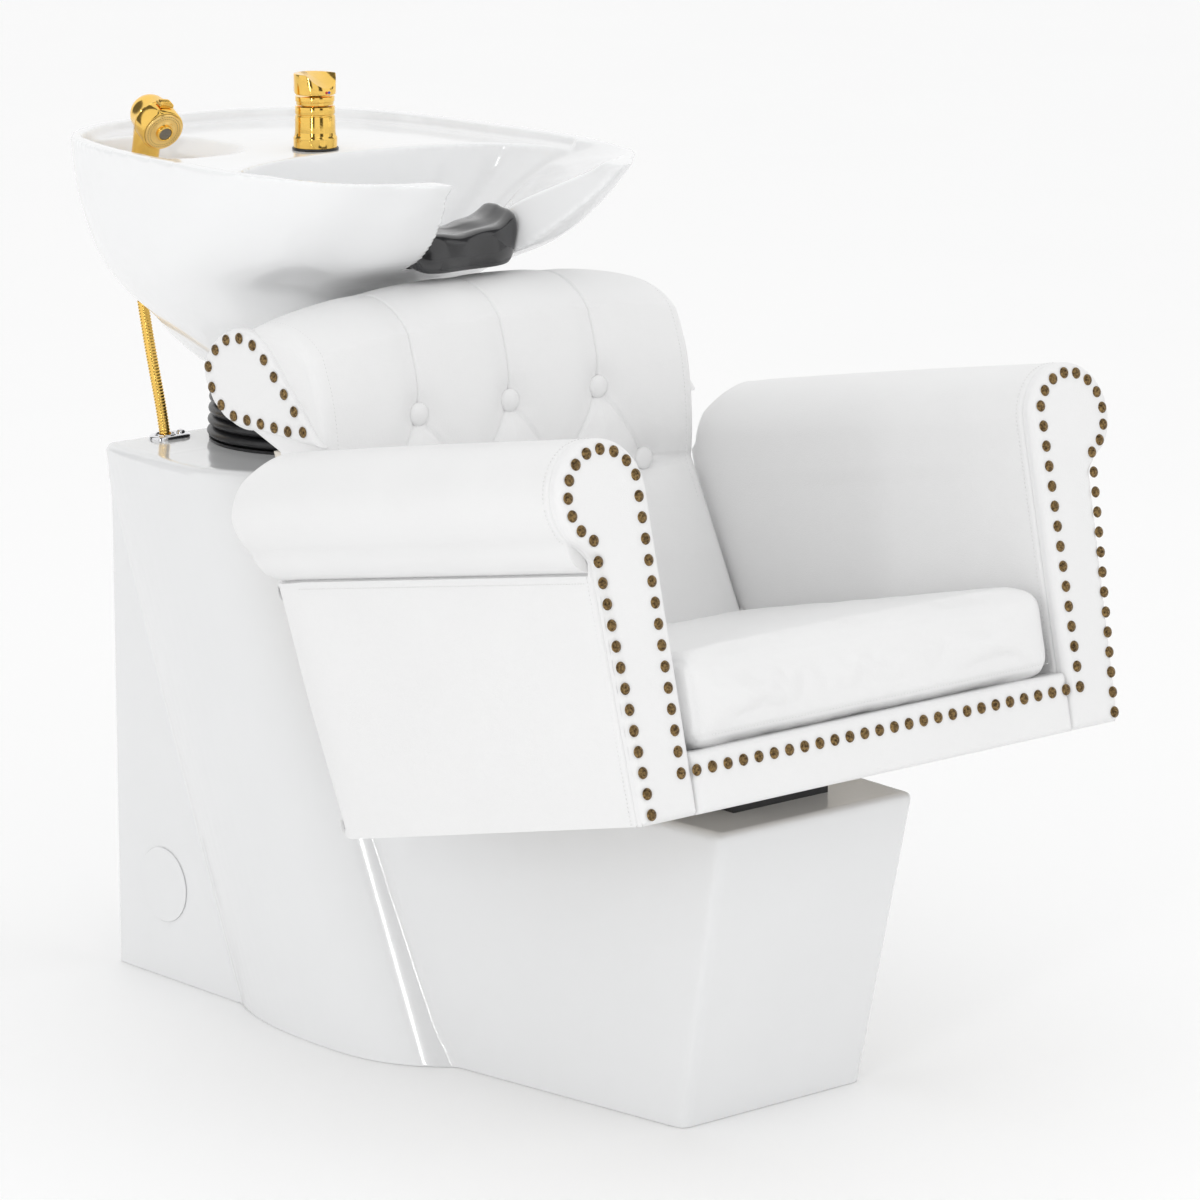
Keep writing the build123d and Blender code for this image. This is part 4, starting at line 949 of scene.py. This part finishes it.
def bowl_ring(half, front_y, rear_y, roundness):
    """Closed plan outline; roundness 1 is an oval and 0 is the pointed rim shape."""
    side = []
    last = len(RIM_SHAPE) - 1
    for k, (u, t) in enumerate(RIM_SHAPE):
        a = pi * k / last
        x, y = half * sin(a), (rear_y + front_y) / 2 - (rear_y - front_y) / 2 * cos(a)
        side.append((u * half * (1 - roundness) + x * roundness,
                     (front_y + t * (rear_y - front_y)) * (1 - roundness) + y * roundness))
    loop = side + [(-x, y) for x, y in side[-2:0:-1]]
    return curve_through(loop, 8, closed=True)


def loft(name, sections, ring, between=8):
    """Smooth closed body through level sections; ring(section values) gives a plan outline."""
    return tube(name, [
        [Vector((x, y, z)) for x, y in ring(*values)] for z, *values in curve_through(sections, between)
    ])


def egg_plan(half, front_y, middle, rear_y, fullness):
    """Plan outline of the basin, narrower towards the neck."""
    points = []
    for a in round_angles(120):
        power = 2 / (fullness if cos(a) > 0 else 2.2)
        reach = middle - front_y if cos(a) > 0 else rear_y - middle
        points.append((half * copysign(abs(sin(a)) ** power, sin(a)),
                       middle - reach * copysign(abs(cos(a)) ** power, cos(a))))
    return points


def prism(name, outline, axis, low, high):
    """Straight body with a polygon outline, from low to high along axis x, y or z."""
    order = {"x": (2, 0, 1), "y": (0, 2, 1), "z": (0, 1, 2)}[axis]
    verts = [Vector([(a, b, h)[k] for k in order]) for h in (low, high) for a, b in outline]
    n = len(outline)
    return new_object(name, verts, ring_faces(2, n) + [tuple(range(n))[::-1], tuple(range(n, 2 * n))], 30)


def rounded_box_plan(x0, y0, x1, y1, r):
    points = []
    corners = ((x1 - r, y1 - r, 0), (x0 + r, y1 - r, 90), (x0 + r, y0 + r, 180), (x1 - r, y0 + r, 270))
    for cx, cy, a0 in corners:
        for k in range(7):
            a = radians(a0 + 15 * k)
            points.append((cx + r * cos(a), cy + r * sin(a)))
    return points


HANDLE_UP = Vector((0.09, -0.12, 0.988)).normalized()
SPRAY_OUT = Vector((-0.158, -0.882, -0.442)).normalized()
HEAD_CENTRE = Vector((-0.122, 0.437, 0.944))
SHELF_Z = 0.862
HOLDER_SPOT = HEAD_CENTRE - HANDLE_UP * ((HEAD_CENTRE.z - SHELF_Z) / HANDLE_UP.z)     # on the shelf
DRAIN = Vector((0, 0.237, 0.745))


def make_bowl():
    count = len(BOWL_SECTIONS)
    sections = [(z, h, f, r, 1 - k / (count - 1)) for k, (z, h, f, r) in enumerate(BOWL_SECTIONS)]
    bowl = loft("bowl_body", sections, bowl_ring)
    boolean(bowl, loft("basin", BASIN_SECTIONS, egg_plan))
    # Deck inside the rim, behind the basin
    deck = tube("deck", [
        [Vector((x * s, max(y, 0.130) + dy, z)) for x, y in bowl_ring(0.235, -0.075, 0.573, 0)]
        for s, dy, z in ((0.912, -0.015, DECK_Z), (0.928, -0.013, DECK_Z + 0.005), (0.940, -0.012, 0.940))
    ])
    boolean(bowl, deck)
    # The lower shelf that the handset stands in, with a sloping side
    shelf = tube("shelf", [
        [Vector((x, y, z)) for x, y in rounded_box_plan(-0.172 - g * 0.3, 0.372 - g, -0.078 + g,
                                                        0.512 + g * 0.2,
                                                        0.035 + g * 0.7)]
        for g, z in ((0.0, SHELF_Z), (0.006, SHELF_Z + 0.012), (0.016, SHELF_Z + 0.030), (0.036,
                                                                                          DECK_Z - 0.002),
                     (0.052, DECK_Z + 0.012))
    ])
    boolean(bowl, shelf)
    recess = [(-0.116, 0.930), (-0.111, 0.905), (-0.098, 0.880), (-0.062, 0.810)]
    recess += [(-x, z) for x, z in recess[::-1]]
    boolean(bowl, prism("recess", recess, "y", -0.12, 0.095))
    # Hollow under the deck, open at the rear
    hollow = loft("hollow", [
        (0.676, 0.086, 0.212, 0.412, 1.0), (0.735, 0.148, 0.190, 0.488, 0.64),
        (0.780, 0.178, 0.150, 0.527, 0.5), (0.815, 0.194, 0.060, 0.543, 0.33),
        (SHELF_Z - 0.013, 0.203, 0.010, 0.552, 0.2)], bowl_ring, 4)
    front_part = [(-0.3, -0.1), (0.3, -0.1), (0.3, 0.278), (-0.3, 0.278)]
    boolean(hollow, prism("front_part", front_part, "z", 0.6, 0.95))
    boolean(bowl, hollow)
    boolean(bowl, prism("door", rounded_box_plan(-0.150, 0.705, 0.110, 0.820, 0.02), "y", 0.40, 0.62))
    boolean(bowl, prism("pocket", rounded_box_plan(-0.022, 0.349, 0.022, 0.399, 0.008), "z", 0.63, 0.70))
    for spot, axis, radius, depth in (
        (Vector((0, MIXER_Y, 0.84)), Vector((0, 0, 1)), 0.0178, 0.12),
        (HOLDER_SPOT - HANDLE_UP * 0.03, HANDLE_UP, 0.0205, 0.06),
        (DRAIN - Vector((0, 0, 0.105)), Vector((0, 0, 1)), 0.0142, 0.15),
    ):
        boolean(bowl, lathe("hole", spot, axis, [(radius, 0), (radius, depth)], 40))
    remesh(bowl, 0.0030, 13)
    # Smoothing shrinks thin edges a little, so the rim goes back to its height
    co = get_points(bowl)
    top = co[:, 2].max()
    co[:, 2] += (RIM_Z - 0.0005 - top) * smoothstep(0.86, top, co[:, 2])
    set_points(bowl, co)
    place(bowl, "bowl_unit", "glazed_white", glaze, "bowl")


def make_neck_rest():
    """Thick gel saddle that fills the foot of the recess, drapes over the lip and dips into the basin."""
    across = 64
    rings = []
    for k in range(across + 1):
        s = -1 + 2 * k / across
        u = abs(s)
        x = 0.0868 * s * (1 - 0.04 * u ** 6)
        # The end is rounded off: everything closes in on the middle of the ear
        close = sqrt(max(0.0, 1 - max(0.0, (u - 0.86) / 0.14) ** 2))
        low = float(np.interp(abs(x), [0.0, 0.056, 0.0640, 0.0730, 0.0885],
                              [0.8125, 0.8128, 0.8165, 0.8340, 0.8590]))
        top = 0.8485 + 0.0185 * u ** 2.2 - 0.0010 * cos(3.2 * pi * s)
        middle = 0.5 * (low + top)
        front = 0.0405 - 0.003 * exp(-((u - 0.45) / 0.25) ** 2) + 0.018 * u ** 4
        rear = 0.104 + 0.010 * u ** 2 - 0.006 * exp(-(u / 0.3) ** 2)
        fold = 0.0012 * exp(-((u - 0.35) / 0.3) ** 2)
        hem = low - 0.0065 * (1 - u ** 4)
        outline = [
            (front + 0.007, hem), (front, hem + 0.005), (front + 0.001, low + 0.45 * (top - low)),
            (front + 0.006, top - 0.007), (front + 0.014, top - 0.0035),
            (front + 0.021, top - 0.0028 - fold), (front + 0.031, top - 0.0010),
            (0.5 * (front + rear) + 0.008, top + 0.0010), (rear - 0.006, top + 0.0005),
            (rear, top - 0.0060), (rear - 0.001, low + 0.45 * (top - low)), (rear - 0.007, low + 0.004),
            (0.5 * (front + rear), low),
        ]
        loop = curve_through(outline, 4, closed=True)
        mid_y = 0.5 * (front + rear)
        rings.append([Vector((x, mid_y + (y - mid_y) * (0.35 + 0.65 * close), middle + (z - middle) * close))
                      for y, z in loop])
    rest = tube("gel_neck_rest", rings, 80)
    modify(rest, "SMOOTH", factor=0.5, iterations=3)
    modify(rest, "SUBSURF", levels=1, render_levels=1)
    bake(rest, 80)
    place(rest, "bowl_unit", "black_gel", gel, "neck_rest")


# ------------------------------------------------------------------ fittings
def make_mixer():
    base = DECK_Z + 0.002
    foot, axis = (0, MIXER_Y, 0), (0, 0, 1)
    body = lathe("tap_body", foot, axis, soft_corners([
        (0.0150, 0.925), (0.0150, 0.842), (0.0164, 0.842), (0.0164, base), (0.0238, base),
        (0.0240, base + 0.011), (0.0226, base + 0.0135), (0.0222, base + 0.017), (0.0218, 0.9455),
        (0.0210, 0.9460), (0.0210, 0.9475), (0.0218, 0.9480), (0.0217, 0.9560), (0.0190, 0.9566),
        (0.0153, 0.9566), (0.0153, 0.930)], 0.0006, 3), 72, 30)
    place(body, "bowl_unit", "gold", gold, "mixer_body")
    collar = lathe("tap_collar", foot, axis, soft_corners([
        (0.0, 0.9262), (0.0148, 0.9262), (0.0148, 0.9578), (0.0204, 0.9578), (0.0204, 0.9612),
        (0.0214, 0.9614), (0.0214, 0.9670), (0.0060, 0.9672), (0.0060, 0.9748),
        (0.0, 0.9750)], 0.0005, 3), 64, 30)
    place(collar, "mixer_swivel", "gold", gold, "cartridge")
    # Hood lever: a cap hollowed from above by a trough that rises to the rear
    hood = lathe("tap_lever", foot, axis, soft_corners([
        (0.0, 0.9790), (0.0085, 0.9790), (0.0085, 0.9690), (0.0222, 0.9690), (0.0229, 0.9700),
        (0.0230, 0.9915), (0.0, 0.9919)], 0.0008, 3), 72, 30)
    trough_r, rise = 0.026, radians(18)
    low_point = Vector((0, MIXER_Y - 0.0236, 0.9765))
    trough_axis = Vector((0, cos(rise), sin(rise)))
    trough_foot = low_point + Vector((0, -sin(rise), cos(rise))) * trough_r - trough_axis * 0.02
    boolean(hood, lathe("trough", trough_foot, trough_axis, [(trough_r, 0), (trough_r, 0.10)], 96))
    rear_cut = [(MIXER_Y + 0.002, 0.960), (0.335, 0.960), (0.335, 0.9805), (MIXER_Y + 0.002, 0.9686)]
    boolean(hood, prism("rear_cut", rear_cut, "x", -0.04, 0.04))
    modify(hood, "BEVEL", width=0.0006, segments=2, angle_limit=radians(40))
    bake(hood, 35)
    place(hood, "lever_unit", "gold", gold, "mixer_lever")
    for side, tone, word in ((-1, mark_red, "hot"), (1, mark_blue, "cold")):
        dot = lathe(f"{word}_mark", (side * 0.0017, MIXER_Y - 0.0229, 0.9722), (0, -1, 0),
                    [(0.0, -0.0005), (0.0016, -0.0005), (0.0016, 0.0002), (0.0010, 0.0005), (0, 0.0006)], 20)
        place(dot, "lever_unit", "gold", tone)
    gasket = lathe("tap_gasket", foot, axis, [(0.0168, DECK_Z), (0.0252, DECK_Z), (0.0256, DECK_Z + 0.001),
                                              (0.0250, DECK_Z + 0.0021), (0.0168, DECK_Z + 0.0021)], 64)
    place(gasket, "bowl_unit", "black_rubber", rubber, "mixer_gasket")


def make_handset():
    r = 0.024
    dome = [(0.0, -0.0220)] + [(0.022 * sin(a), -0.022 * cos(a)) for a in np.linspace(0.15, 1.5, 14)]
    head = lathe("handset_head", HEAD_CENTRE, SPRAY_OUT, dome + [
        (0.0225, 0.004), (0.0238, 0.0110), (0.0240, 0.0118), (0.0234, 0.0124), (0.0234, 0.0132),
        (0.0240, 0.0138), (r, 0.0330), (0.0232, 0.0342), (0.0221, 0.0344), (0.0221, 0.0284),
        (0.0, 0.0284)], 72, 30)
    foot = HEAD_CENTRE - HANDLE_UP * 0.112
    grip = lathe("handset_grip", foot, HANDLE_UP, [
        (0.0, 0.0), (0.0112, 0.0), (0.0120, 0.0008), (0.0136, 0.030), (0.0150, 0.060), (0.0156, 0.085),
        (0.0166, 0.100), (0.0150, 0.112), (0.0, 0.114)], 56, 40)
    boolean(head, grip, "UNION")
    head.name = "handset_shell"
    place(head, "handset", "gold", gold, "handset_body")
    face = lathe("spray_plate", HEAD_CENTRE, SPRAY_OUT, soft_corners([
        (0.0096, 0.0284), (0.0218, 0.0284), (0.0218, 0.0352), (0.0205, 0.0362), (0.0128, 0.0364),
        (0.0110, 0.0375), (0.0096, 0.0375)], 0.0005, 3), 72, 30)
    place(face, "handset", "gold", gold_satin, "spray_face")
    u, v = frame_of(SPRAY_OUT)
    tip = [(0, -0.0003), (0.00055, -0.0003), (0.0005, 0.0001), (0, 0.0002)]
    dots = []
    for ring_r, number in ((0.0190, 44), (0.0164, 38)):
        for a in round_angles(number):
            spot = HEAD_CENTRE + SPRAY_OUT * 0.03632 + (u * cos(a) + v * sin(a)) * ring_r
            dots.append(lathe("nozzle", spot, SPRAY_OUT, tip, 8))
    place(join_meshes("spray_nozzles", dots), "handset", "black_rubber", rubber)
    ring = lathe("aerator_ring", HEAD_CENTRE, SPRAY_OUT, soft_corners([
        (0.0, 0.0284), (0.0094, 0.0284), (0.0094, 0.0402), (0.0088, 0.0410), (0.0074, 0.0410),
        (0.0070, 0.0395), (0.0, 0.0395)], 0.0005, 3), 56, 30)
    place(ring, "handset", "gold", gold, "aerator")
    screen = lathe("aerator_screen", HEAD_CENTRE, SPRAY_OUT, [(0.0, 0.0396), (0.0069, 0.0396), (0.0068,
                                                                                                0.0402),
                                                             (0.0040, 0.0404), (0, 0.0405)], 40)
    place(screen, "handset", "chrome", mesh_grey)
    # Ribbed selector slide on top of the head
    up = (HANDLE_UP - SPRAY_OUT * HANDLE_UP.dot(SPRAY_OUT)).normalized()
    side = SPRAY_OUT.cross(up)
    centre = HEAD_CENTRE + SPRAY_OUT * 0.020 + up * (r + 0.0034)
    rows = []
    for a in np.linspace(-0.0080, 0.0080, 41):
        rib = 0.0005 * cos(2 * pi * a / 0.0020)
        high = 0.0026 + rib - 0.0024 * (a / 0.008) ** 4
        section = [(-0.006, -0.0030), (0.006, -0.0030), (0.006, high - 0.0012), (0.0048, high),
                   (-0.0036, high - 0.0004), (-0.006, high - 0.0022)]
        rows.append([centre + side * a + SPRAY_OUT * p + up * q for p, q in section])
    place(tube("selector_slide", rows, 35), "selector", "gold", gold, "spray_selector")
    nut_foot = foot - HANDLE_UP * 0.016
    nut = lathe("hose_cone", nut_foot, HANDLE_UP, soft_corners([
        (0.0070, 0.0), (0.0080, 0.0), (0.0092, 0.004), (0.0095, 0.012), (0.0092, 0.0158), (0.0, 0.016)],
        0.0006, 3), 40, 35)
    place(nut, "handset", "gold", gold, "hose_nut")
    holder = lathe("handset_collar", HOLDER_SPOT, HANDLE_UP, soft_corners([
        (0.0157, -0.026), (0.0193, -0.026), (0.0193, 0.0040), (0.0238, 0.0040), (0.0238, 0.0080),
        (0.0205, 0.0088), (0.0165, 0.0088), (0.0157, 0.0080)], 0.0006, 3), 56, 35)
    place(holder, "bowl_unit", "gold", gold, "handset_holder")


def make_hose():
    start = HEAD_CENTRE - HANDLE_UP * 0.128
    # The route of the CAD hose, point for point
    route = [
        tuple(start), (-0.134, 0.448, 0.770), (-0.131, 0.434, 0.690), (-0.127, 0.413, 0.600),
        (-0.125, 0.402, 0.490), (-0.126, 0.396, 0.350), (-0.126, 0.393, 0.205), (-0.126, 0.392, 0.107),
        (-0.089, 0.391, 0.070), (-0.037, 0.390, 0.070), (0.0, 0.389, 0.107), (0.001, 0.388, 0.205),
        (0.0, 0.388, 0.350), (-0.001, 0.387, 0.490), (0.0, 0.380, 0.610), (0.0, 0.358, 0.710),
        (0.0, MIXER_Y + 0.034, 0.775), (0.0, MIXER_Y + 0.034, 0.8149),
    ]
    curve = bpy.data.curves.new("hose_line", "CURVE")
    curve.dimensions = "3D"
    spline = curve.splines.new("NURBS")
    spline.points.add(len(route) - 1)
    for point, spot in zip(spline.points, route):
        point.co = (*spot, 1)
    spline.order_u = 3
    spline.use_endpoint_u = True
    spline.resolution_u = 24
    line = bpy.data.objects.new("hose_line", curve)
    bpy.context.collection.objects.link(line)
    bpy.context.view_layer.update()
    mesh = bpy.data.meshes.new_from_object(line)
    path = [v.co.copy() for v in mesh.vertices]
    bpy.data.objects.remove(line)
    run = [0.0]
    for a, b in zip(path, path[1:]):
        run.append(run[-1] + (b - a).length)
    total = run[-1]
    radius, pitch, per_rib = 0.0065, 0.0034, 4
    steps = int(total / pitch) * per_rib
    stations = np.linspace(0, total, steps + 1)
    arr = np.array([tuple(p) for p in path])
    centre = np.stack([np.interp(stations, run, arr[:, k]) for k in range(3)], axis=1)
    tangent = np.gradient(centre, axis=0)
    tangent /= np.linalg.norm(tangent, axis=1, keepdims=True)
    side = Vector((0, 1, 0))
    rings = []
    for k, (c, t) in enumerate(zip(centre, tangent)):
        t = Vector(t)
        side = (side - t * side.dot(t)).normalized()
        other = t.cross(side)
        phase = (k % per_rib) / per_rib
        r = radius - 0.0009 * (0.5 + 0.5 * cos(2 * pi * phase))
        rings.append([Vector(c) + (side * cos(a) + other * sin(a)) * r
                      for a in round_angles(14)])
    hose = tube("shower_hose", rings, 80)
    hose.data.materials.append(gold)
    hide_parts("hose")
    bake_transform(hose)


def make_boot():
    """Ribbed rubber boot round the neck, and the waste sleeve."""
    low, high = BASE_TOP_Z + 0.0002, 0.6548
    ribs = 5
    profile = [(0.1015, low), (0.1135, low), (0.1140, low + 0.003)]
    pitch = (high - low) / ribs
    for rib in range(ribs):
        for k in range(10):
            t = k / 10
            bulge = sin(pi * t) ** 0.6 if 0 < t < 1 else 0
            radius = 0.1062 + (0.0098 - 0.001 * rib) * bulge
            profile.append((radius, low + 0.003 + (rib + t) * (pitch - 0.0006)))
    profile += [(0.1062, high - 0.0003), (0.1040, high), (0.1015, high)]
    boot = lathe("neck_boot", (0, NECK_Y, 0), (0, 0, 1), profile, 96, 60)
    boot.data.materials.append(rubber)
    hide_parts("bellows")
    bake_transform(boot)
    sleeve = lathe("waste_boot", (0, 0.237, 0), (0, 0, 1), soft_corners([
        (0.0176, 0.560), (0.0205, 0.560), (0.0205, 0.585), (0.0190, 0.592), (0.0205, 0.599), (0.0205, 0.624),
        (0.0136, 0.624), (0.0136, 0.622), (0.0176, 0.620)], 0.001, 3), 40, 60)
    sleeve.data.materials.append(rubber)
    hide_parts("waste_sleeve")
    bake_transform(sleeve)


def make_guide():
    """Chrome oval plate with a raised ring round the hose and a domed screw."""
    z = BASE_TOP_Z
    rings = []
    for grow, h in ((0, 0.0), (0, 0.0022), (-0.0008, 0.0034), (-0.0022, 0.0041)):
        ring = []
        for a in round_angles(64):
            c, s = cos(a), sin(a)
            x = -0.121 + copysign(0.010, c) + (0.015 + grow) * c
            ring.append(Vector((x, GUIDE_Y + (0.015 + grow) * s, z + h)))
        rings.append(ring)
    plate = tube("guide_plate", rings, 40)
    boolean(plate, lathe("cutter", (GUIDE_X, GUIDE_Y, z - 0.01), (0, 0, 1), [(0.0108, 0), (0.0108, 0.03)],
                         40))
    collar = lathe("collar", (GUIDE_X, GUIDE_Y, z), (0, 0, 1), [
        (0.0101, 0.0), (0.0122, 0.0), (0.0126, 0.0042), (0.0119, 0.0052), (0.0108, 0.0052), (0.0101, 0.0042),
        (0.0101, 0.0)], 48)
    plate = join_meshes("guide_plate", [plate, collar], 40)
    place(plate, "base", "chrome", chrome, "hose_guide")
    screw = lathe("guide_screw_head", (-0.106, GUIDE_Y, z + 0.004), (0, 0, 1), [
        (0.0, -0.0005), (0.0048, -0.0005), (0.0050, 0.0010), (0.0040, 0.0026), (0.0022, 0.0034),
        (0, 0.0036)], 32)
    place(screw, "base", "chrome", chrome, "guide_screw")


def finish_cad_nodes():
    """Materials, and softened edges, for the CAD nodes that stay."""
    finishes = {
        "floor_plate": grey_steel, "bowl_posts": grey_steel, "seat_post": grey_steel, "seat_beam": grey_steel,
        "tilt_plate": grey_steel, "seat_mount": black_steel, "tilt_bushes": acetal, "seat_bolts": zinc,
        "tilt_pins": zinc, "bowl_studs": zinc, "waste_pipe": pipe_grey, "supply_valves": raw_brass,
        "drain_tail": raw_brass, "mixer_nut": raw_brass, "hose_union": raw_brass, "strainer": chrome,
        "seat_pan": plywood, "back_board": plywood,
    }
    for name, mat in finishes.items():
        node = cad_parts[name]
        if not node.material_slots:
            node.data.materials.append(mat)
        for slot in node.material_slots:
            slot.material = mat
        modify(node, "BEVEL", width=0.0005, segments=2, limit_method="ANGLE", angle_limit=radians(50))


# ------------------------------------------------------------------ studio
def make_camera():
    """Long-lens view from the front left, a little above the seat."""
    data = bpy.data.cameras.new("camera")
    data.lens = 165.1
    data.sensor_width = 36.0
    camera = bpy.data.objects.new("camera", data)
    bpy.context.collection.objects.link(camera)
    camera.location = (-3.68124, -4.38422, 1.71662)
    camera.rotation_euler = (radians(90 - 12.416), 0, radians(-41.128))
    bpy.context.scene.camera = camera


def area_light(name, spot, aim, width, height, power):
    """Soft box at spot, pointing at aim."""
    data = bpy.data.lights.new(name, "AREA")
    data.shape = "RECTANGLE"
    data.energy = power
    data.size, data.size_y = width, height
    light = bpy.data.objects.new(name, data)
    bpy.context.collection.objects.link(light)
    light.location = spot
    light.rotation_euler = (Vector(aim) - Vector(spot)).to_track_quat("-Z", "Y").to_euler()


def make_studio():
    make_camera()
    area_light("key", (-0.4, -3.2, 3.0), (0, 0, 0.5), 2.4, 1.6, 6)
    area_light("strip", (-3.6, -2.0, 1.3), (0, 0, 0.4), 0.14, 1.7, 15)
    area_light("fill", (3.4, -2.2, 1.8), (0, 0, 0.5), 1.6, 2.2, 5)
    scene = bpy.context.scene
    scene.view_settings.view_transform = "Standard"
    world = bpy.data.worlds.new("studio")
    world.use_nodes = True
    background = world.node_tree.nodes["Background"]
    background.inputs["Color"].default_value = (1, 1, 1, 1)
    background.inputs["Strength"].default_value = 0.98
    # Reflections see dark flags standing round the white studio
    nodes, links = world.node_tree.nodes, world.node_tree.links
    where = nodes.new("ShaderNodeTexCoord")
    around = nodes.new("ShaderNodeTexGradient")
    around.gradient_type = "RADIAL"
    flags = nodes.new("ShaderNodeValToRGB")
    stops = flags.color_ramp.elements
    stops[0].position, stops[0].color = 0.0, (1, 1, 1, 1)
    stops[1].position, stops[1].color = 1.0, (1, 1, 1, 1)
    dark_flags = ((0.10, 0.03, 0.12), (0.245, 0.02, 0.08), (0.42, 0.035, 0.15), (0.83, 0.04, 0.15))
    for centre, half, shade in dark_flags:
        for at, level in ((centre - half - 0.012, 1.0), (centre - half, shade), (centre + half, shade),
                          (centre + half + 0.012, 1.0)):
            stops.new(at).color = (level, level, level, 1)
    seen = nodes.new("ShaderNodeBackground")
    rays = nodes.new("ShaderNodeLightPath")
    blend = nodes.new("ShaderNodeMixShader")
    links.new(where.outputs["Generated"], around.inputs["Vector"])
    links.new(around.outputs["Fac"], flags.inputs["Fac"])
    links.new(flags.outputs["Color"], seen.inputs["Color"])
    links.new(rays.outputs["Is Glossy Ray"], blend.inputs["Fac"])
    links.new(background.outputs["Background"], blend.inputs[1])
    links.new(seen.outputs["Background"], blend.inputs[2])
    links.new(blend.outputs["Shader"], nodes["World Output"].inputs["Surface"])
    scene.world = world
    floor = new_object("floor", [(-40, -40, 0), (40, -40, 0), (40, 40, 0), (-40, 40, 0)], [(0, 1, 2, 3)])
    floor.location.z = -0.0005
    floor.data.materials.append(pale_floor)


make_base()
make_seat_fronts()
make_cushion()
make_back()
make_back_ends()
make_stitches()
make_bowl()
make_neck_rest()
make_mixer()
make_handset()
make_hose()
make_boot()
make_guide()
finish_cad_nodes()
make_studio()
